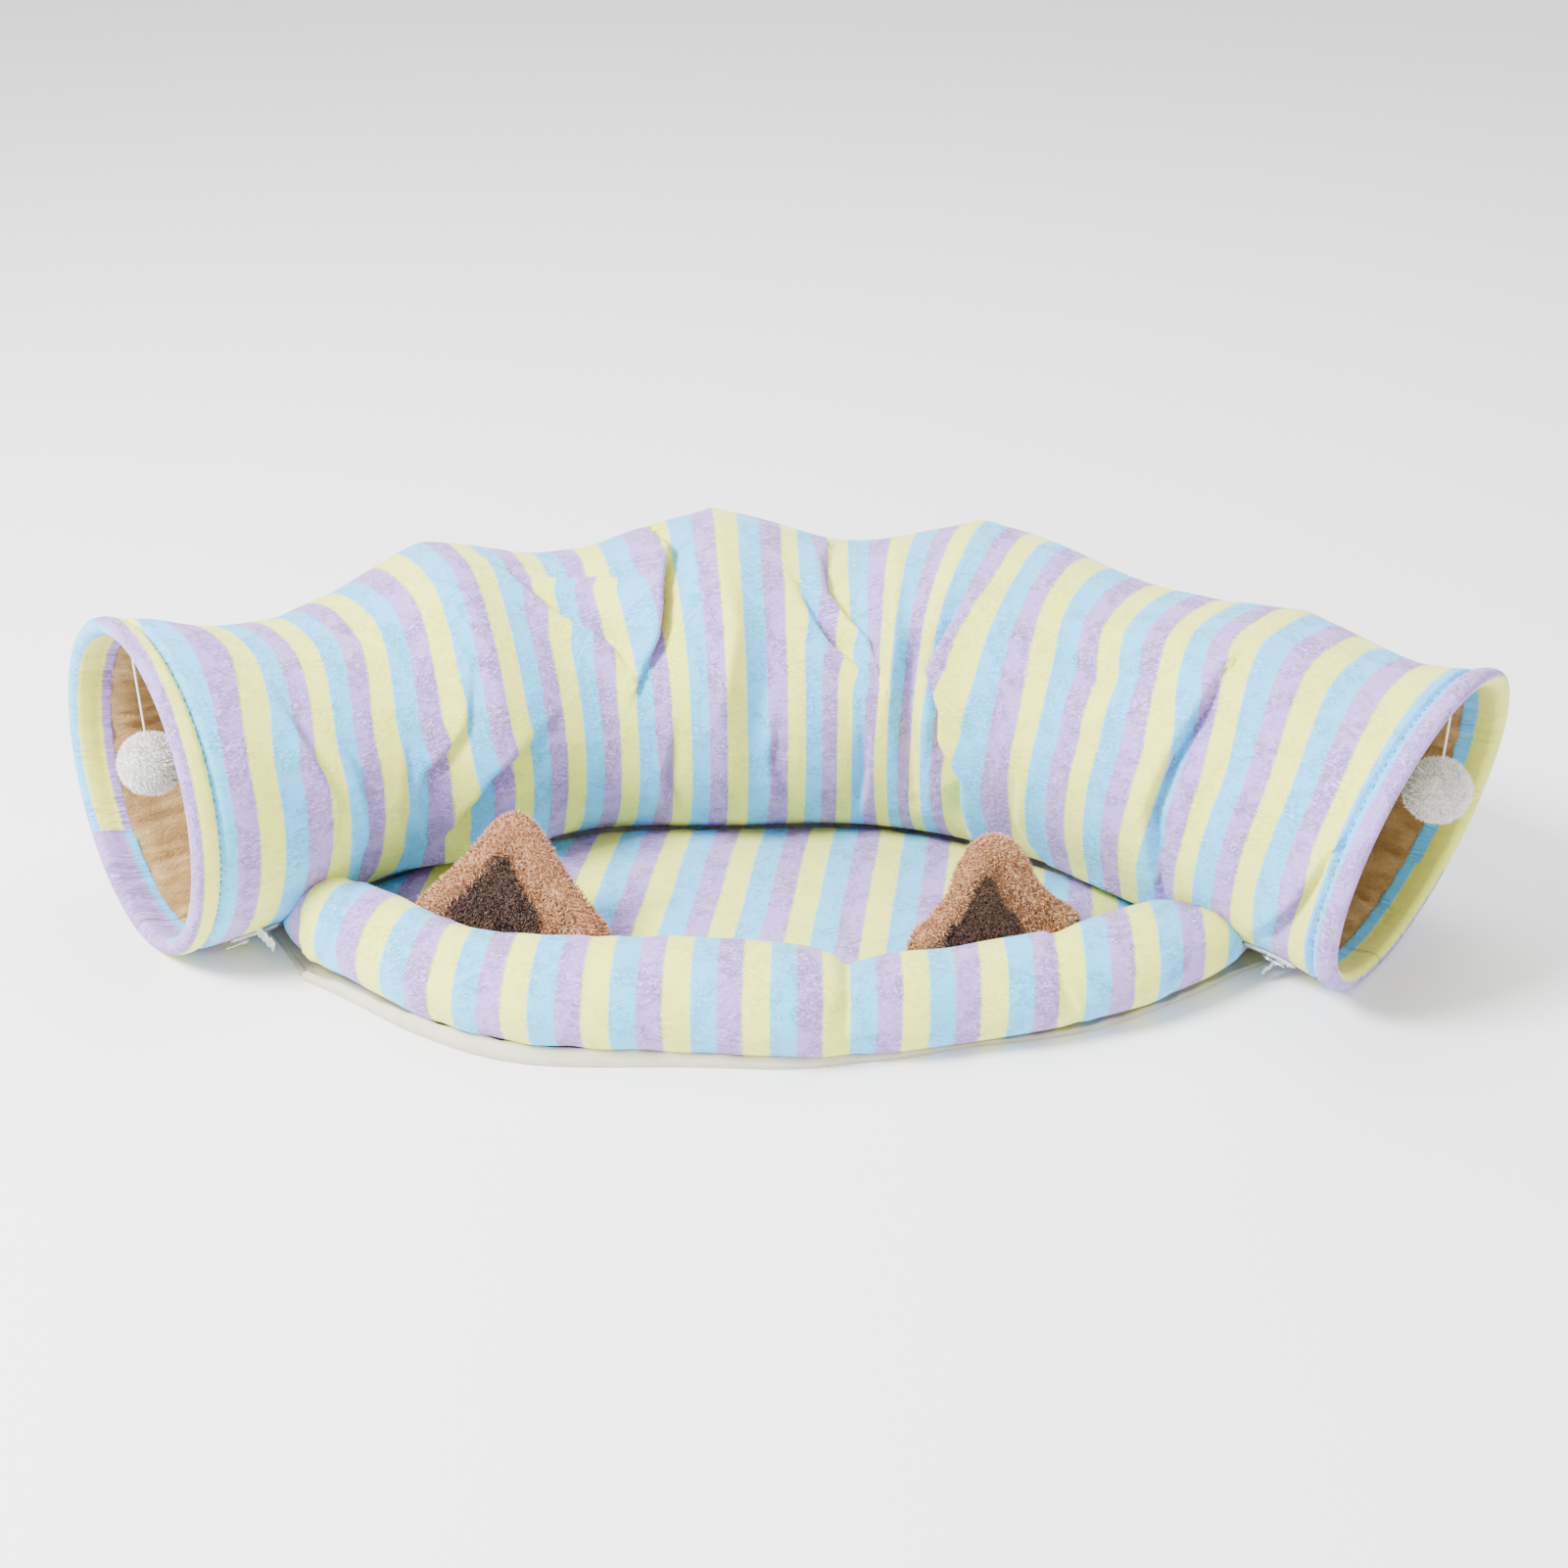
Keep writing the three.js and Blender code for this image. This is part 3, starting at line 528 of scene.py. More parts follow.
def woven(name, light, dark, thread):
    """Plain-woven cloth or tape: matt, with crossing threads. thread is their spacing in millimetres, drawn
    coarser than real so that it shows."""
    material = new_material(name)
    place = add(material, "TexCoord", output="Object")
    weft, warp = (
        add(
            material, "TexWave",
            {"Vector": place, "Scale": BAND_SPACING / (thread * MM), "Distortion": 0.4, "Detail": 1.0},
            output="Fac", bands_direction=way, wave_profile="SIN",
        )
        for way in "XY"
    )
    weave = add(material, "Math", {0: weft, 1: warp}, operation="MULTIPLY")
    worn = add(material, "TexNoise", {"Vector": place, "Scale": 1 / (25 * MM), "Detail": 3})
    colour = add(material, "ValToRGB", {"Fac": worn}, stops=[[0.3, linear(dark)], [0.7, linear(light)]])
    surface = {
        "Base Color": tinted(material, colour, weave, 0.9, 1.05), "Roughness": 0.9,
        "Specular IOR Level": 0.2, "Sheen Weight": 0.1,
    }
    return finish_material(material, surface, weave, 0.3, 0.4)


def pile_material(name, root, middle, tip, patch=9.0):
    """Long-haired plush: tufts painted dark between their roots, as shade deep in the pile, and pale at their
    tips, as light on them, in blotches that are patch millimetres across. Single hairs are drawn 1.6 mm
    apart, coarser than real, to show."""
    material = new_material(name)
    place = add(material, "TexCoord", output="Object")
    up = add(material, "Attribute", output="Fac", attribute_name="tip")
    blotch = add(material, "TexNoise", {
        "Vector": place, "Scale": 1 / (patch * MM), "Detail": 3, "Roughness": 0.6,
    })
    fine = add(material, "TexNoise", {"Vector": place, "Scale": 1 / (1.6 * MM), "Roughness": 0.6})
    uneven = add(material, "Math", {0: blotch, 1: 0.9, 2: -0.45}, operation="MULTIPLY_ADD")
    shown = add(material, "Math", {0: up, 1: uneven}, operation="ADD")
    # Painted shade and light: the colour runs from dark at the roots, shade deep in the pile, to pale at the
    # tips.
    stops = [[0.0, linear(root)], [0.5, linear(middle)], [1.0, linear(tip)]]
    colour = add(material, "ValToRGB", {"Fac": shown}, stops=stops)
    surface = {
        "Base Color": tinted(material, colour, fine, 0.82, 1.14), "Roughness": 0.9,
        "Specular IOR Level": 0.2, "Sheen Weight": 0.3, "Sheen Roughness": 0.5,
    }
    return finish_material(material, surface, fine, 0.8, 0.5)


def twisted_thread(name, colour, twist):
    """Twisted polyester cord or thread: slanting strands a twist apart, in millimetres."""
    material = new_material(name)
    place = add(material, "TexCoord", output="Object")
    strand = add(
        material, "TexWave", {"Vector": place, "Scale": BAND_SPACING / (twist * MM), "Distortion": 0.0},
        output="Fac", bands_direction="DIAGONAL",
    )
    tone = tinted(material, linear(colour)[:3], strand, 0.78, 1.0)
    surface = {"Base Color": tone, "Roughness": 0.75, "Sheen Weight": 0.1}
    return finish_material(material, surface, strand, 0.3, 0.6)


def cast_metal():
    """Nickel-plated die-cast zinc: bright, with faint rubbed scratches 1.5 mm apart."""
    material = new_material("nickel_plated_zinc")
    place = add(material, "TexCoord", output="Object")
    rub = add(material, "TexNoise", {"Vector": place, "Scale": 1 / (1.5 * MM), "Detail": 4, "Roughness": 0.7})
    rough = add(material, "MapRange", {"Value": rub, "To Min": 0.2, "To Max": 0.42})
    colour = tinted(material, linear("#D9DADC")[:3], rub, 0.85, 1.05)
    surface = {"Base Color": colour, "Metallic": 1.0, "Roughness": rough}
    return finish_material(material, surface, rub, 0.2, 0.1)


PLUSH_CLOTH = striped_plush()
NYLON = tan_nylon()
CREAM_CLOTH = woven("cream_polyester_lining", "#DDD6C0", "#CFC7B0", 1.4)
ZIP_TAPE = woven("polyester_zip_tape", "#E4E4E2", "#CFCFCE", 1.1)
TAN_PILE = pile_material("tan_sherpa_plush", "#8E5C39", "#C08A5E", "#E3B389")
BROWN_PILE = pile_material("brown_long_plush", "#20120B", "#482E21", "#7A5541")
WHITE_PILE = pile_material("white_pompom_yarn", "#DAD6D3", "#F0EEEC", "#FCFCFB", 6.0)
WHITE_CORD = twisted_thread("white_twisted_cord", "#F1F0EE", 1.6)
# Painted shade: the thread's blue is darker than its own, standing in for the shade in the groove that it
# lies in.
THREAD_AND_GROOVE_SHADE = twisted_thread("blue_thread_and_groove_shade", "#2F86A8", 1.0)
METAL = cast_metal()


# Cords of the pompoms: each hangs plumb from the hem above the mouth.
CORD_STEPS = 16


def hem_ceiling(along):
    """The hem's underside above a mouth, where a cord is sewn in."""
    inside = min(along, TUNNEL_LENGTH - along)
    hem = 2 * ROLL_RADIUS + (HEM_THICK - 2 * ROLL_RADIUS) * (inside - ROLL_RADIUS) / (HEM_SEAM - ROLL_RADIUS)
    return tunnel_point(along, 90, -hem - 0.3)


def blades(roots, ways, length, width, draw, bend):
    """Tufts of pile: from each root a tapered leaf of three triangles, bent a little to one side.

    A leaf starts as wide as width, leans off its way by a random sideways part, and ends in a point.
    Returns points, three-sided faces and each point's height from 0 at the root to 1 at the tip.
    """
    count = len(roots)
    across = unit(np.cross(ways, draw.normal(size=(count, 3))))
    lean = np.cross(ways, across) * draw.normal(size=(count, 1)) * bend
    long = length * draw.uniform(0.75, 1.15, (count, 1))
    half = across * width / 2
    middle = roots + (ways + lean * 0.4) * long * 0.55
    tip = roots + (ways + lean) * long
    points = np.stack([roots - half, roots + half, middle - half * 0.8, middle + half * 0.8, tip], 1)
    first = np.arange(count)[:, None] * 5
    faces = np.concatenate([first + [0, 1, 3], first + [0, 3, 2], first + [2, 3, 4]])
    heights = np.tile([0.0, 0.0, 0.55, 0.55, 1.0], count)
    return points.reshape(-1, 3), faces, heights


def ball(centre, radius, rough, seed):
    """A closed ball from a grid of longitudes and latitudes, its radius uneven by rough."""
    rows, columns = 28, 44
    up = np.linspace(-np.pi / 2, np.pi / 2, rows + 2)[1:-1]
    round_it = np.arange(columns) * 2 * np.pi / columns
    up, round_it = np.meshgrid(up, round_it, indexing="ij")
    way = np.stack([np.cos(up) * np.cos(round_it), np.cos(up) * np.sin(round_it), np.sin(up)], -1)
    poles = np.array([[0, 0, -1.0], [0, 0, 1.0]])
    ways = np.concatenate([way.reshape(-1, 3), poles])
    points = centre + ways * (radius + rough * ripple(ways * 30, 14, seed))[:, None]
    quads = grid_faces(rows, columns)
    triangles = np.concatenate([quads[:, [0, 1, 2]], quads[:, [0, 2, 3]]])
    ring = np.arange(columns)
    low, high = rows * columns, rows * columns + 1
    last = (rows - 1) * columns
    foot = np.stack([np.full(columns, low), (ring + 1) % columns, ring], -1)
    head = np.stack([last + ring, last + (ring + 1) % columns, np.full(columns, high)], -1)
    return points, np.concatenate([triangles, foot, head])


def spread_on_ball(count):
    """Even directions on a sphere, each turned on by the golden angle from the one before."""
    i = np.arange(count) + 0.5
    height = 1 - 2 * i / count
    turn = i * GOLDEN_ANGLE
    around = np.sqrt(1 - height**2)
    return np.stack([around * np.cos(turn), around * np.sin(turn), height], -1)


def make_pompom(row):
    """A pompom of cut yarn on its cord: a rough ball covered in short tufts."""
    name = row["name"]
    top = hem_ceiling(row["along"])
    end = top - [0, 0, row["cord"]]
    centre = top - [0, 0, row["cord"] + CORD_END]
    draw = np.random.default_rng(5)
    core = ball(centre, POMPOM_RADIUS - 4.2, 0.8, 11)
    ways = spread_on_ball(POMPOM_TUFTS)
    ways = unit(ways + draw.normal(size=ways.shape) * 0.03)
    clump = 0.8 * ripple(ways * 30, 9, 21)
    points, faces, heights = blades(centre + ways * (POMPOM_RADIUS - 5.2), ways, 4.6, 1.0, draw, 0.3)
    points += np.repeat(ways * clump[:, None], 5, axis=0) * heights[:, None]
    points, faces = joined([core, (points, faces)])
    # Painted shade: the ball under the tufts is coloured a quarter of the way up from the pile's dark roots.
    tips = np.concatenate([np.full(len(core[0]), 0.25), heights])
    pompom = new_piece(
        f"pompom_pile_{name}", points, faces, WHITE_PILE, "white_pile", f"pompom_{name}", tip=tips
    )

    curve = bpy.data.curves.new(f"pompom_cord_line_{name}", "CURVE")
    curve.dimensions = "3D"
    curve.bevel_depth = CORD_RADIUS * MM
    curve.bevel_resolution = 3
    curve.use_fill_caps = True
    spline = curve.splines.new("POLY")
    spline.points.add(CORD_STEPS - 1)
    route = np.linspace(top, end, CORD_STEPS) * MM
    spline.points.foreach_set("co", np.column_stack([route, np.ones(CORD_STEPS)]).ravel())
    cord = bpy.data.objects.new(f"pompom_cord_line_{name}", curve)
    bpy.context.scene.collection.objects.link(cord)
    dress(cord, WHITE_CORD, f"pompom_cord_{name}")


for row in POMPOMS:
    make_pompom(row)


# Tunnel cover
# Where the tunnel's lines of points run, with one more just past the cloth's lengthwise join.
ANGLES = np.sort(np.append(np.arange(-90, 270, 1.5), HEM_JOIN + 0.03))
COLUMNS = len(ANGLES)


def stripe_count(along, angle):
    """How many periods of the stripes lie between the left mouth and a place on the cloth.

    The top and the side towards the bed have a count each, and the others blend the two. A count is straight
    from one place in STRIPES to the next and goes on evenly past the ends.
    """
    counts = []
    for line in ("top", "inner"):
        places = STRIPES[line]
        past = np.minimum(along - places[0], 0) + np.maximum(along - places[-1], 0)
        counts.append(np.interp(along, places, STRIPES["number"]) + past / PERIOD)
    top, inner = counts
    folded = np.where(angle > 135, 270 - angle, angle)
    share = smooth(20, 82, np.where(angle < 0, -angle * 0.3, folded))
    return inner + (top - inner) * share


# The turned-in hem behind its roll: place from the mouth, and how far inside the plush's outer face it lies.
HEM_BAND = table(
    ["at", "offset"], [[7, -14], [14, -12.4], [22, -9.6], [30, -8.6], [33.5, -8.2], [35, -5.6]]
)


def cover_profile():
    """The cover's rings from hem to hem: place along the tube, offset, and a share of the way round the
    turned-in hem, which is 0 on the outside."""
    steps = np.concatenate([np.arange(9, 14, 2), np.arange(14, 28, 1.0), np.arange(30, 60, 3.0)])
    middle = np.arange(61, TUNNEL_LENGTH - 60, 3.5)
    outer = np.concatenate([steps, middle, TUNNEL_LENGTH - steps[::-1]])
    inside = np.minimum(outer, TUNNEL_LENGTH - outer)
    groove = -SEAM_DEPTH * np.exp(-(((inside - SEAM_PLACE) / SEAM_HALF) ** 2))
    swell = 0.8 * np.exp(-(((inside - 10) / 7) ** 2))
    turn = np.linspace(0, np.pi, 12)
    roll = np.stack([ROLL_RADIUS - ROLL_RADIUS * np.sin(turn), ROLL_RADIUS * (np.cos(turn) - 1)], -1)
    band_at = np.linspace(ROLL_RADIUS, HEM_DEPTH, 16)[1:]
    band_offset = np.interp(band_at, HEM_BAND["at"], HEM_BAND["offset"])
    hem = np.concatenate([roll, np.stack([band_at, band_offset], -1)])
    length = np.concatenate([[0], np.cumsum(np.linalg.norm(np.diff(hem, axis=0), axis=1))])
    share = length / length[-1]
    along = np.concatenate([hem[::-1, 0], outer, TUNNEL_LENGTH - hem[:, 0]])
    offset = np.concatenate([hem[::-1, 1], groove + swell, hem[:, 1]])
    round_it = np.concatenate([-share[::-1], np.zeros(len(outer)), share])
    return along, offset, round_it


def make_cover():
    """The plush tube, turned over at each mouth round a rolled edge, with its stripes counted along it."""
    along, offset, round_it = cover_profile()
    s, a = np.meshgrid(along, ANGLES, indexing="ij")
    o, hem = (np.broadcast_to(v[:, None], s.shape) for v in (offset, round_it))
    inner = smooth(0.45, 1, np.abs(hem))
    gather = np.sin(np.radians(a) * 46 + 2.2 * np.sin(np.radians(a) * 7)) + 0.6 * np.sin(np.radians(a) * 83)
    pucker = 0.5 * np.sin(np.radians(a) * 61 + 3 * np.sin(np.radians(a) * 5))
    seam = np.exp(-(((np.minimum(s, TUNNEL_LENGTH - s) - SEAM_PLACE) / 6) ** 2)) * (hem == 0)
    points = tunnel_point(s, a, o - 0.6 * inner * gather + seam * pucker)
    far = smooth(85, 140, a) * (a < HEM_JOIN)
    near_left, near_right = smooth(70, 20, s), smooth(TUNNEL_LENGTH - 70, TUNNEL_LENGTH - 20, s)
    count = stripe_count(s, a) + far * (LEFT_TWIST * near_left + RIGHT_TWIST * near_right)
    start = stripe_count(np.full(COLUMNS, ROLL_RADIUS), ANGLES) + LEFT_TWIST * far[0]
    end = stripe_count(np.full(COLUMNS, TUNNEL_LENGTH - ROLL_RADIUS), ANGLES) + RIGHT_TWIST * far[0]
    low = (a > HEM_JOIN) | (a < -60)
    left_hem = np.where(low, LOW_HEM_STRIPE, LEFT_HEM_STRIPE)
    count = np.where(hem < 0, start + (left_hem - start) * -hem, count)
    count = np.where(hem > 0, end + (RIGHT_HEM_STRIPE - end) * hem, count)
    cloth = np.stack([s + 62 * hem, np.radians(a) * MEAN_RADIUS, 0 * s], -1) * MM
    piece = new_piece(
        "tunnel_plush", points, grid_faces(len(along), COLUMNS, flip=True), PLUSH_CLOTH, "striped_plush",
        "tunnel_cover", stripe=count.ravel(), cloth=cloth.reshape(-1, 3),
    )


make_cover()


def make_lining():
    """The nylon inside the tunnel: it follows the plush loosely and is pulled into pleats by both hems."""
    along = np.concatenate([[32, 34, 36, 38], np.arange(41, TUNNEL_LENGTH - 40, 4.4)])
    along = np.concatenate([along, TUNNEL_LENGTH - np.array([38.0, 36, 34, 32])])
    s, a = np.meshgrid(along, ANGLES, indexing="ij")
    turn = np.radians(a)
    inside = np.minimum(s, TUNNEL_LENGTH - s)
    pleats = np.sin(turn * 41 + 2.5 * np.sin(turn * 6)) + 0.7 * np.sin(turn * 67 + 1.8 * np.sin(turn * 4 + 1))
    pull = np.exp(-(inside - 34) / 60) * smooth(35, 46, inside)
    around = np.stack([s / 30, 6 * np.cos(turn), 6 * np.sin(turn)], -1)
    slack = 1.6 * ripple(around, 3.2, 7) + 1.0 * ripple(around, 1.4, 8)
    rings = 1.6 * np.exp(-(((s % 94) - 47) / 9) ** 2)
    tuck = 1.6 * smooth(60, 36, inside)
    offset = LINING_FACE - 1.6 - tuck - 2.4 * pull * (pleats + 0.8)
    offset = offset - 1.1 * (1 - pull) * np.abs(slack) - 0.4 * rings
    points = tunnel_point(s, a, offset, 0.9)
    cloth = np.stack([s, turn * MEAN_RADIUS * 2.4, 0 * s], -1) * MM
    piece = new_piece(
        "tunnel_nylon", points, grid_faces(len(along), COLUMNS), NYLON, "tan_nylon", "tunnel_lining",
        cloth=cloth.reshape(-1, 3),
    )


make_lining()


# Padded pieces: each starts from its node's own solid, a little smaller, and is blown up as cloth.
VOXEL = 5.0  # size of the cubes that the solid is remeshed by
PRESSURE = 4.0
FRAMES = 20


def padded_form(node, shrink, cap, smoothing):
    """A node's solid remeshed evenly, drawn in, then blown up as cloth, with no point moved past the cap.

    Returns a new object with its modifiers applied.
    """
    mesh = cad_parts[node].data.copy()
    work = bmesh.new()
    work.from_mesh(mesh)
    bmesh.ops.remove_doubles(work, verts=work.verts, dist=1e-5)
    work.to_mesh(mesh)
    work.free()
    piece = bpy.data.objects.new(f"{node}_padding", mesh)
    bpy.context.scene.collection.objects.link(piece)
    remesh = piece.modifiers.new("remesh", "REMESH")
    remesh.mode = "VOXEL"
    remesh.voxel_size = VOXEL * MM
    bake(piece)
    start = soften(piece, smoothing, shrink * MM)
    blow_up(piece)
    moved = read_points(piece)
    move = moved - start
    far = np.linalg.norm(move, axis=1, keepdims=True)
    write_points(piece, start + move * np.minimum(1, cap * MM / np.maximum(far, 1e-9)))
    return piece


def bake(piece):
    """Makes what the modifiers show the piece's own mesh and removes them."""
    shown = piece.evaluated_get(bpy.context.evaluated_depsgraph_get())
    mesh = bpy.data.meshes.new_from_object(shown)
    piece.modifiers.clear()
    old, piece.data = piece.data, mesh
    bpy.data.meshes.remove(old)


def read_points(piece):
    """The points of a piece's mesh, in its own metres."""
    points = np.zeros(len(piece.data.vertices) * 3)
    piece.data.vertices.foreach_get("co", points)
    return points.reshape(-1, 3)


def write_points(piece, points):
    """Moves the points of a piece's mesh."""
    piece.data.vertices.foreach_set("co", points.ravel())
    piece.data.update()


def neighbours(mesh):
    """The two points of every edge."""
    edges = np.zeros(len(mesh.edges) * 2, int)
    mesh.edges.foreach_get("vertices", edges)
    return edges.reshape(-1, 2)


def soften(piece, rounds, shrink):
    """Rounds a mesh by moving each point towards the mean of its neighbours, then draws it in."""
    points = read_points(piece)
    edges = neighbours(piece.data)
    ends = np.concatenate([edges, edges[:, ::-1]])
    number = np.bincount(ends[:, 0], minlength=len(points))[:, None]
    for _ in range(rounds):
        total = np.stack([np.bincount(ends[:, 0], points[ends[:, 1], i], len(points)) for i in range(3)], -1)
        points = points + 0.5 * (total / number - points)
    write_points(piece, points)
    normals = np.zeros(len(points) * 3)
    piece.data.vertices.foreach_get("normal", normals)
    points = points - normals.reshape(-1, 3) * shrink
    write_points(piece, points)
    return points


def blow_up(piece):
    """Runs Blender's cloth with air pressure and no gravity, and applies the result."""
    scene = bpy.context.scene
    cloth = piece.modifiers.new("cloth", "CLOTH")
    cloth.settings.use_pressure = True
    cloth.settings.uniform_pressure_force = PRESSURE
    cloth.settings.effector_weights.gravity = 0
    cloth.settings.quality = 5
    cloth.point_cache.frame_start = 1
    cloth.point_cache.frame_end = FRAMES
    for step in range(1, FRAMES + 1):
        scene.frame_set(step)
    bake(piece)
    scene.frame_set(1)


def finish_padding(piece, node, name, points, stripe):
    """Writes the final points and stripes, and adds one subdivision."""
    write_points(piece, points * MM)
    add_values(piece.data, "stripe", stripe)
    add_values(piece.data, "cloth", points * MM)
    piece.data.polygons.foreach_set("use_smooth", np.ones(len(piece.data.polygons), bool))
    piece.name = name
    finer = piece.modifiers.new("finer", "SUBSURF")
    finer.levels = finer.render_levels = 1
    dress(piece, PLUSH_CLOTH, node)


# The bolster's stripes stand upright at its right end and lean over the top towards its left end.
LEAN = table(["x", "lean"], [[-400, 0.42], [-300, 0.3], [-180, 0.12], [0, 0.02], [400, 0]])
STRIPE_START = -10.4 - PERIOD / 3  # where a yellow stripe begins at the middle of the bolster

# The foot of the bolster's front.
FRONT = table(
    ["x", "y"], [[-396, -60], [-320, -105], [-254, -152], [-72, -188], [132, -174], [298, -112], [381, -52]]
)

# Soft wrinkles across the bolster: place and half width along x, depth, and slant over the top.
WRINKLES = table(
    ["x", "half", "depth", "slant"],
    [
        [-352, 5, 3.0, 0.5],
        [-262, 6, 1.2, -0.3],
        [-150, 6, 1.6, 0.25],
        [-98, 5, 1.2, -0.2],
        [43, 4.5, 6.0, 0.12],
        [66, 6, 1.6, -0.3],
        [212, 4.5, 4.5, -0.3],
        [226, 5, 1.6, -0.5],
        [304, 6, 1.6, 0.3],
    ],
)


ROLL_HALF = 48  # half the bolster's width
ROLL_MIDDLE = 38.0  # height of its middle


def make_bolster():
    """The filled roll in front, striped across, with a few soft wrinkles."""
    piece = padded_form("bolster", 2.4, 4.0, 8)
    points = read_points(piece) / MM
    x, y, z = points.T
    lean = track(LEAN, "x", "lean", np.clip(x, -400, 400))
    front = np.interp(x, FRONT["x"], FRONT["y"])
    swell = 1 + 0.15 * np.exp(-(((x + 362) / 46) ** 2)) + 0.12 * np.exp(-(((x - 350) / 34) ** 2))
    points = points * np.stack([1 + 0 * x, 1 + 0 * x, swell], -1)
    z = points[:, 2]
    dent = sum(
        depth * np.exp(-(((x - at - slant * (z - 40)) / half) ** 2))
        for at, half, depth, slant in zip(*(WRINKLES[c] for c in ("x", "half", "depth", "slant")))
    )
    rumple = 0.7 * ripple(points * [1, 0.6, 0.6], 46, 4)
    away = np.stack([0 * x, (y - front - ROLL_HALF) / ROLL_HALF, (z - ROLL_MIDDLE) / ROLL_MIDDLE], -1)
    away /= np.maximum(np.linalg.norm(away, axis=1, keepdims=True), 0.3)
    moved = points - away * (dent * smooth(6, 25, z) + rumple * smooth(4, 20, z))[:, None]
    count = (x - lean * (y - front) - STRIPE_START) / PERIOD
    finish_padding(piece, "bolster", "bolster_roll", moved, count)


MAT_TURN = 0.13  # the mat's stripes run back to front, turned to the right by this much
MAT_START = 71.4 - MAT_TURN * 33.6  # a yellow stripe begins at x 71.4 where y is 33.6
MAT_CORNER = [-305, 62, 68]  # middle and reach of the place where the mat is pushed under the tunnel
MAT_PUSH = [-5.5, 7.5, 0]


def make_mat():
    """The padded mat, its top soft and a little uneven, its left rim pushed up to the tunnel's foot."""
    piece = padded_form("mat", 1.0, 2.6, 10)
    points = read_points(piece) / MM
    x, y, z = points.T
    uneven = smooth(8, 22, z) * (1.2 * ripple(points, 70, 6) + 0.6 * ripple(points, 28, 9))
    moved = points + np.stack([0 * x, 0 * x, uneven], -1)
    near = np.exp(-((x - MAT_CORNER[0]) ** 2 + (y - MAT_CORNER[1]) ** 2) / MAT_CORNER[2] ** 2)
    moved = moved + near[:, None] * MAT_PUSH
    count = (x - MAT_TURN * y - MAT_START) / MAT_PERIOD
    finish_padding(piece, "mat", "mat_pad", moved, count)


make_bolster()
make_mat()


# Ears: rings from the middle of a layer's face round its rim to the middle of its back, each with its share
# of the outline's size and how far it lies in front of the ear's middle.
EAR_POINTS = 96
EAR_PROFILE = table(
    ["ring", "share", "front"],
    [
        [0, 0.02, 5.4],
        [1, 0.3, 5],
        [2, 0.54, 5],
        [3, 0.6, 6.4],
        [4, 0.68, 9.6],
        [5, 0.8, 11.4],
        [6, 0.92, 8.6],
        [7, 0.985, 4],
        [8, 1.0, 0.5],
        [9, 0.97, -3],
        [10, 0.8, -6],
        [11, 0.4, -8],
        [12, 0.02, -8.2],
    ],
)
PANEL_PROFILE = table(
    ["ring", "share", "front"],
    [
        [0, 0.02, 9.6],
        [1, 0.25, 9.4],
        [2, 0.46, 8.8],
        [3, 0.56, 7.4],
        [4, 0.57, 6.2],
        [5, 0.5, 5.6],
        [6, 0.2, 5.6],
        [7, 0.02, 5.6],
    ],
)


def ear_outline(side):
    """A bell-shaped outline through the side's points, mirrored, with a straight lower edge."""
    points = [[-x, z] for x, z in side]
    wide, high = side[-1]
    points += [[0, high + wide * 0.5]] + [[x, z] for x, z in reversed(side)]
    points = np.array(points, float)
    length = np.concatenate([[0], np.cumsum(np.linalg.norm(np.diff(points, axis=0), axis=1))])
    rows = {"length": length, "x": points[:, 0], "z": points[:, 1]}
    base = 2 * side[0][0]
    share = length[-1] / (length[-1] + base)
    at = np.linspace(0, length[-1], round(EAR_POINTS * share))
    bell = np.stack([track(rows, "length", "x", at), track(rows, "length", "z", at)], -1)
    foot = np.linspace(side[0][0], -side[0][0], EAR_POINTS - len(bell) + 2)[1:-1]
    return np.concatenate([bell, np.stack([foot, 0 * foot], -1)])


def ear_form(ear, profile, wave):
    """Rings of the ear's outline drawn towards its middle, each at its own depth, in the ear's place."""
    outline = ear_outline(ear["outline"])
    middle = np.array([0, ear["outline"][-1][1] * 0.36])
    ring = np.linspace(0, profile["ring"][-1], 44)
    share, front = (track(profile, "ring", name, ring) for name in ("share", "front"))
    flat = (outline - middle)[None] * share[:, None, None] + middle
    depth = np.broadcast_to(front[:, None], flat.shape[:2])
    local = np.stack([flat[..., 0], -depth, flat[..., 1]], -1)
    if profile is PANEL_PROFILE:
        shift, narrow = ear["panel"]
        local[..., 0] = local[..., 0] * narrow + shift
    bulge = wave * ripple(local, 26, 13)
    local[..., 1] -= bulge * np.sign(depth + 0.01)
    return place_ear(ear, local), grid_faces(*flat.shape[:2], flip=True)


def place_ear(ear, local):
    """Leans the ear back, turns it and sets it behind the bolster."""
    lean, yaw = math.radians(-ear["lean"]), math.radians(ear["yaw"])
    x, y, z = np.moveaxis(local, -1, 0)
    y, z = y * math.cos(lean) - z * math.sin(lean), y * math.sin(lean) + z * math.cos(lean)
    x, y = x * math.cos(yaw) - y * math.sin(yaw), x * math.sin(yaw) + y * math.cos(yaw)
    return np.stack([x + ear["x"], y + ear["y"], z + EAR_FOOT], -1)


def capped(points, faces):
    """Closes the first and last ring of a grid, and splits its faces into triangles."""
    rows, columns = points.shape[:2]
    flat = points.reshape(-1, 3)
    ends = np.stack([points[0].mean(0), points[-1].mean(0)])
    ring = np.arange(columns)
    last = (rows - 1) * columns
    triangles = np.concatenate([faces[:, [0, 1, 2]], faces[:, [0, 2, 3]]])
    head = np.stack([np.full(columns, len(flat)), ring, (ring + 1) % columns], -1)
    foot = np.stack([last + ring, np.full(columns, len(flat) + 1), last + (ring + 1) % columns], -1)
    return np.concatenate([flat, ends]), np.concatenate([triangles, head, foot])


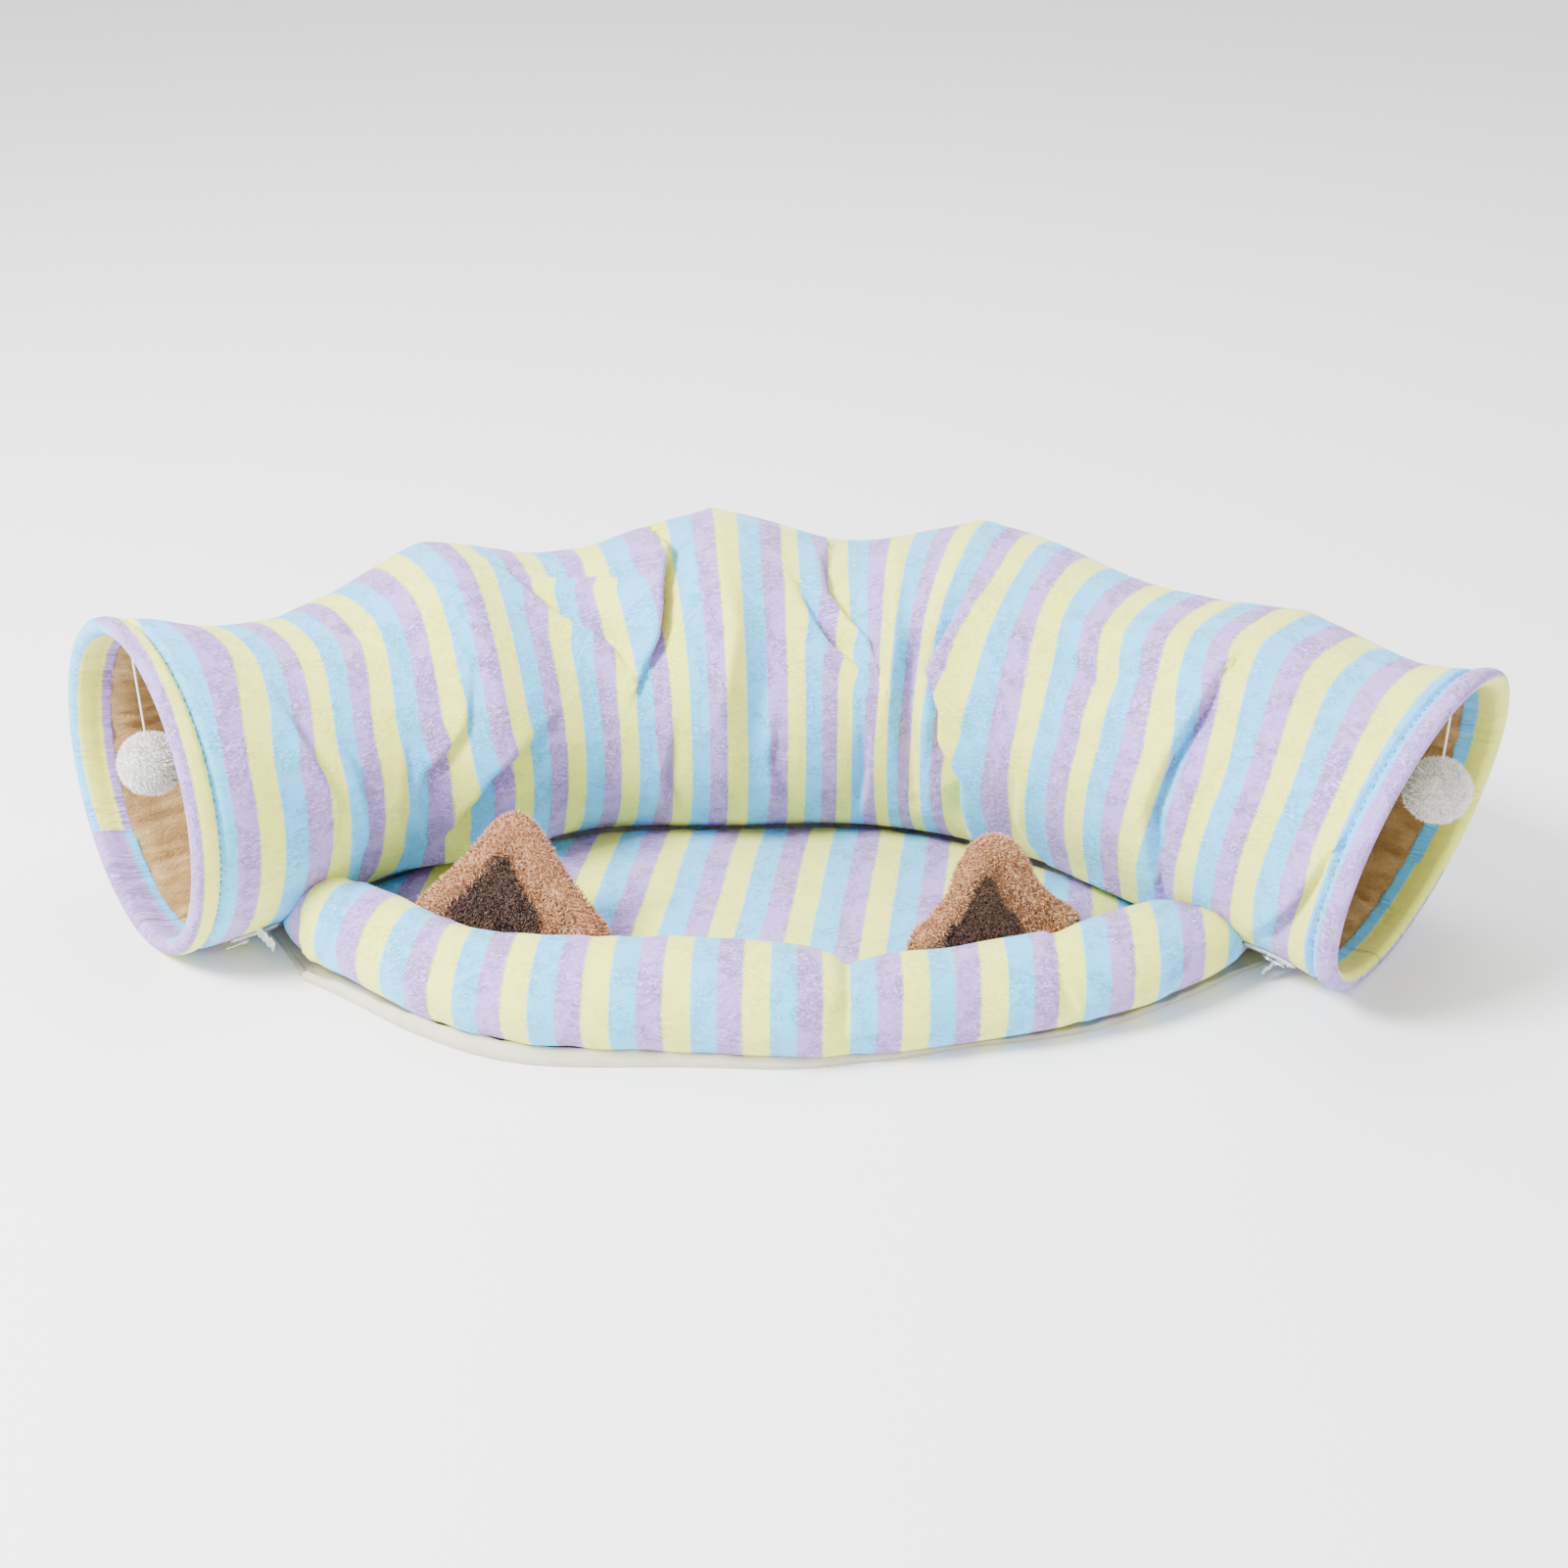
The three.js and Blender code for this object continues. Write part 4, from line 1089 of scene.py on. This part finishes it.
def roots_on(points, faces, count, draw):
    """Random places spread evenly over triangles, with their outward directions."""
    a, b, c = (points[faces[:, i]] for i in range(3))
    normal = np.cross(b - a, c - a)
    size = np.linalg.norm(normal, axis=1)
    pick = draw.choice(len(faces), count, p=size / size.sum())
    u, v = draw.random((2, count, 1))
    u, v = np.where(u + v > 1, 1 - u, u), np.where(u + v > 1, 1 - v, v)
    return a[pick] + u * (b - a)[pick] + v * (c - a)[pick], (normal / np.maximum(size, 1e-9)[:, None])[pick]


def make_ear_layer(ear, layer, profile, wave, material, slot, tufts, long):
    """One layer of an ear: its form with tufts of pile all over."""
    draw = np.random.default_rng(17)
    points, faces = capped(*ear_form(ear, profile, wave))
    centre = points.mean(0)
    roots, ways = roots_on(points, faces, tufts, draw)
    if np.sum((roots - centre) * ways) < 0:
        faces = faces[:, ::-1]
        ways = -ways
    comb = unit(ways + np.array([0, -0.15, 0.35]) + 0.35 * draw.normal(size=ways.shape))
    hair, leaves, heights = blades(roots, comb, long, 1.0, draw, 0.4)
    whole = joined([(points, faces), (hair, leaves)])
    # Painted shade: the ear's own surface under the tufts takes the pile's darker colour near its roots.
    tips = np.concatenate([np.full(len(points), 0.3), heights])
    node = f"ear_{ear['name']}_{layer}"
    piece = new_piece(f"{node}_plush", *whole, material, slot, node, tip=tips)


for ear in EARS:
    make_ear_layer(ear, "outer", EAR_PROFILE, 1.2, TAN_PILE, "tan_plush", 15000, 4.2)
    make_ear_layer(ear, "inner", PANEL_PROFILE, 0.8, BROWN_PILE, "brown_plush", 8000, 4.6)


# Base cloth
BOLSTER = table(
    ["step", "x", "y", "thick"],
    [
        [0, -396, -40, 22],
        [1, -388, -35, 54],
        [2, -368, -35, 72],
        [3, -320, -61, 80],
        [4, -254, -106, 82],
        [5, -182, -133, 88],
        [6, -72, -137, 90],
        [7, 10, -144, 88],
        [8, 50, -144, 78],
        [9, 90, -139, 78],
        [10, 132, -130, 76],
        [11, 220, -110, 82],
        [12, 298, -69, 80],
        [13, 345, -40, 66],
        [14, 371, -37, 36],
        [15, 381, -44, 12],
    ],
)
REACH = table(
    ["x", "share", "rise"],
    [
        [-420, 0.62, 4],
        [-330, 0.72, 9],
        [-240, 0.77, 15],
        [-150, 0.73, 13],
        [0, 0.64, 8],
        [60, 0.54, 5],
        [400, 0.5, 3],
    ],
)
BOLSTER_WIDE = 1.16
CLOTH_TUCK = 48.0  # how far towards the bed the cloth's back edge lies from the middle of the tunnel
UNDER_INSET = 0.0035  # how much smaller the cloth's underside is at its edge, as a share


def base_outline():
    """The bed's outline: below the tunnel at the back, in front of the bolster's foot at the front."""
    along = np.arange(76, 1059, 8.0)
    at = tunnel_frame(along)
    back = (at["centre"] + at["side"] * CLOTH_TUCK)[:, :2]
    step = np.arange(14.5, 0.49, -0.08)
    x, y, thick = (track(BOLSTER, "step", name, step) for name in ("x", "y", "thick"))
    run = unit(np.stack([np.gradient(x, -step), np.gradient(y, -step)], -1))
    out = np.stack([-run[:, 1], run[:, 0]], -1)
    share, rise = (track(REACH, "x", name, np.clip(x, -420, 400)) for name in ("share", "rise"))
    reach = (share * thick * BOLSTER_WIDE / 2)[:, None]
    front = np.stack([x, y], -1) + out * np.where(out[:, 1:] > 0, -1, 1) * reach
    full = smooth(45, 75, thick) * rise
    return np.concatenate([back, front]), np.concatenate([0 * along, full])


def make_base():
    """The cream cloth on the floor: a thin sheet with its front edge turned up against the bolster."""
    outline, rise = base_outline()
    inset = np.array([5.0, 2.4, 0.6, 0.0, 0.8, 3.0, 12.0, 30.0])
    lift = np.array([1, 0.78, 0.5, 0.25, 0.08, 0, 0, 0])
    far = np.linalg.norm(outline, axis=1)
    pull = [1 - i / far for i in inset] + [(1 - inset[-1] / far) * share for share in (0.8, 0.5, 0.2, 0.02)]
    lift = np.concatenate([lift, np.zeros(4)])
    rings = np.stack([np.column_stack([outline * p[:, None], up * rise]) for p, up in zip(pull, lift)])
    crimp = 1.2 * ripple(rings * [1, 1, 0], 24, 30) * lift[:, None]
    top, under = rings.copy(), rings.copy()
    top[..., 2] += BASE_CLOTH + crimp
    under[..., 2] += crimp
    under[:4] *= [1 - UNDER_INSET, 1 - UNDER_INSET, 1]
    under[..., 2] = np.maximum(under[..., 2], 0)
    both = np.concatenate([top[::-1], under])
    points, faces = capped(both, grid_faces(*both.shape[:2]))
    piece = new_piece("base_cloth_sheet", points, faces, CREAM_CLOTH, "cream_cloth", "base_cloth")


make_base()


# Zips
def strip(zip_end, half, low, high):
    """A strip of tape on the plush: rings round its two faces, the upper one slightly wavy."""
    along = np.linspace(zip_end["from"], zip_end["to"], 24)
    reach = np.degrees(half / MEAN_RADIUS)
    across = np.linspace(-reach, reach, 9)
    s, a = np.meshgrid(along, across + zip_end["angle"], indexing="ij")
    wave = 0.25 * np.sin(s / 3.1) * np.cos((a - zip_end["angle"]) * 1.1)
    upper = tunnel_point(s, a, high + wave)
    lower = tunnel_point(s, a, low + 0 * s)
    return np.concatenate([upper, lower[:, ::-1]], axis=1)


def frame_on(zip_end, along, lift):
    """Place and directions on the tape: ahead along the tube, across it and out of it."""
    at = tunnel_point(along, zip_end["angle"], lift)
    ahead = unit(tunnel_point(along + 5, zip_end["angle"], lift) - at)
    out = tunnel_point(along, zip_end["angle"], lift + 18) - at
    out = unit(out - ahead * (out @ ahead))
    return at, np.stack([ahead, np.cross(out, ahead), out])


def plate(length, width, low, high, hole=0.0, waist=0.0, count=36):
    """A rounded plate with soft edges, closed, with an oval hole where asked and a waist half way."""
    turn = np.arange(count) * 2 * np.pi / count
    narrow = 1 - waist * np.cos(turn) ** 2
    edge = np.stack([np.cos(turn) * length / 2, np.sin(turn) * width / 2 * narrow], -1)
    soft = min(high - low, width) * 0.25
    inner = hole or 0.04
    rows = [
        (inner, low + soft), (inner + 0.06, low), (0.9, low), (1.0, low + soft), (1.0, high - soft),
        (0.9, high), (inner + 0.06, high), (inner, high - soft), (inner, low + soft),
    ]
    rings = np.stack([np.column_stack([edge * share, np.full(count, z)]) for share, z in rows])
    return rings.reshape(-1, 3), grid_faces(len(rows), count)


def make_zip(zip_end):
    """Woven tape with its coil of teeth, and a slider with its pull."""
    name = zip_end["name"]
    form = strip(zip_end, TAPE_WIDTH / 2, 0.5, TAPE_FACE)
    points, faces = capped(form, grid_faces(*form.shape[:2], flip=True))
    tape = new_piece(f"zip_tape_{name}_weave", points, faces, ZIP_TAPE, "zip_tape", f"zip_tape_{name}")
    teeth = []
    for along in np.arange(zip_end["from"] + 1, zip_end["to"], 1.6):
        at, way = frame_on(zip_end, along, TAPE_FACE)
        bar, sides = plate(1.0, 4.6, 0.0, 0.9, count=10)
        teeth.append((bar @ way + at, sides))
    new_piece(f"zip_teeth_{name}", *joined(teeth), ZIP_TAPE, "zip_tape")
    at, way = frame_on(zip_end, zip_end["slider"], TAPE_FACE)
    pull, ring = plate(16, 5, 3.0, 4.0, hole=0.4)
    pull = pull + [8 * zip_end["pull"], 0, 0]
    lower, sides = plate(11, 7, 0.0, 1.0, waist=0.35)
    upper, _ = plate(10, 6.6, 2.0, 3.0, waist=0.35)
    bridge, bars = plate(6, 2.4, 2.9, 4.2, count=20)
    points, faces = joined([(lower, sides), (upper, sides), (bridge, bars), (pull, ring)])
    new_piece(f"zip_slider_{name}_metal", points @ way + at, faces, METAL, "zip_metal", f"zip_slider_{name}")


for zip_end in ZIPS:
    make_zip(zip_end)


def make_zip_tail(name, route, half):
    """The loose end of the bed's zip tape, crumpled in the corner between the bolster and the tunnel.

    Its middle runs through a few points. It stands across them, wavy along its length, and is closed.
    """
    rows, columns = 40, 11
    route = np.array(route, float)
    share = np.linspace(0, 1, rows)
    middle = np.stack([np.interp(share, np.linspace(0, 1, len(route)), route[:, i]) for i in range(3)], -1)
    across = np.linspace(-half, half, columns)
    up = across[None, :, None] * np.array([0.25, -0.35, 0.9])
    sheet = middle[:, None] + up
    sheet[..., 1] += 1.6 * np.sin(share * 19)[:, None] * np.cos(across / 3.5)[None] - 1.2
    sheet[..., 2] += 1.2 * np.sin(share * 31 + 1)[:, None]
    sheet[..., 2] = np.maximum(sheet[..., 2], 1.0)
    form = np.concatenate([sheet, sheet[:, ::-1] + [0, 1.0, 0.2]], axis=1)
    points, faces = capped(form, grid_faces(*form.shape[:2]))
    tail = new_piece(f"zip_tail_{name}", points, faces, ZIP_TAPE, "zip_tape")


make_zip_tail("left", [[-420, -30, 32], [-411, -37, 27], [-401, -44, 20]], 6.5)
make_zip_tail("right", [[374, -66, 12], [386, -58, 17], [397, -62, 18]], 5.2)


# Stitching in the groove behind each rolled hem
def make_stitches(name, place):
    """A ring of short stitches, each a slim eight-sided grain lying in the groove, in thread darkened as
    painted shade of the groove.
    """
    count = 132
    turn = np.arange(8) * np.pi / 4
    profile = [(0.0, 0.05), (0.15, 0.7), (0.5, 1.0), (0.85, 0.7), (1.0, 0.05)]
    grain = np.array([[[share - 0.5, r * np.cos(t), r * np.sin(t)] for t in turn] for share, r in profile])
    angles = -90 + 360 * np.arange(count) / count
    at = tunnel_point(np.full(count, place), angles, -SEAM_DEPTH + 0.5)
    ahead = unit(tunnel_point(np.full(count, place), angles + 1, -SEAM_DEPTH + 0.5) - at)
    out = tunnel_point(np.full(count, place), angles, 20) - at
    out = unit(out - ahead * np.sum(out * ahead, axis=1, keepdims=True))
    way = np.stack([ahead, np.cross(out, ahead), out], 1)
    points = np.einsum("rcd,ndk->nrck", grain * [4.2, 0.5, 0.4], way) + at[:, None, None]
    faces = grid_faces(len(profile), 8)
    first = np.arange(count)[:, None, None] * len(profile) * 8
    new_piece(name, points, (faces[None] + first).reshape(-1, 4), THREAD_AND_GROOVE_SHADE, "striped_plush")


make_stitches("hem_stitches_left", SEAM_PLACE)
make_stitches("hem_stitches_right", TUNNEL_LENGTH - SEAM_PLACE)


# Floor and light
def make_stage():
    """A plain pale floor under a soft studio light, its tone almost even."""
    material = new_material("pale_matt_floor")
    place = add(material, "TexCoord", output="Object")
    faint = add(material, "TexNoise", {"Vector": place, "Scale": 1 / (400 * MM)})
    colour = tinted(material, linear("#FCFCFC")[:3], faint, 0.985, 1.0)
    finish_material(material, {"Base Color": colour, "Roughness": 0.9, "Specular IOR Level": 0.1})
    mesh = bpy.data.meshes.new("floor")
    mesh.from_pydata([(-8, -8, 0), (8, -8, 0), (8, 8, 0), (-8, 8, 0)], [], [(0, 1, 2, 3)])
    mesh.materials.append(material)
    floor = bpy.data.objects.new("floor", mesh)
    bpy.context.scene.collection.objects.link(floor)


def area_light(name, place, target, size, power):
    """A soft square light at a place, turned to a target."""
    data = bpy.data.lights.new(name, "AREA")
    data.size = size
    data.energy = power
    light = bpy.data.objects.new(name, data)
    way = np.array(target, float) - np.array(place, float)
    light.location = place
    light.rotation_euler = (
        math.atan2(math.hypot(way[0], way[1]), -way[2]),
        0,
        math.atan2(-way[0], way[1]),
    )
    bpy.context.scene.collection.objects.link(light)


make_stage()
area_light("key", (-1.9, -1.0, 2.4), (0, 0, 0.1), 0.9, 318)
area_light("fill", (2.2, -1.4, 1.6), (0, 0, 0.1), 2.2, 30)
area_light("top", (0.2, 0.9, 2.8), (0, 0.1, 0), 2.0, 55)
world = bpy.data.worlds.new("studio")
world.use_nodes = True
world.node_tree.nodes["Background"].inputs["Color"].default_value = (1, 1, 1, 1)
world.node_tree.nodes["Background"].inputs["Strength"].default_value = 1.3
bpy.context.scene.world = world
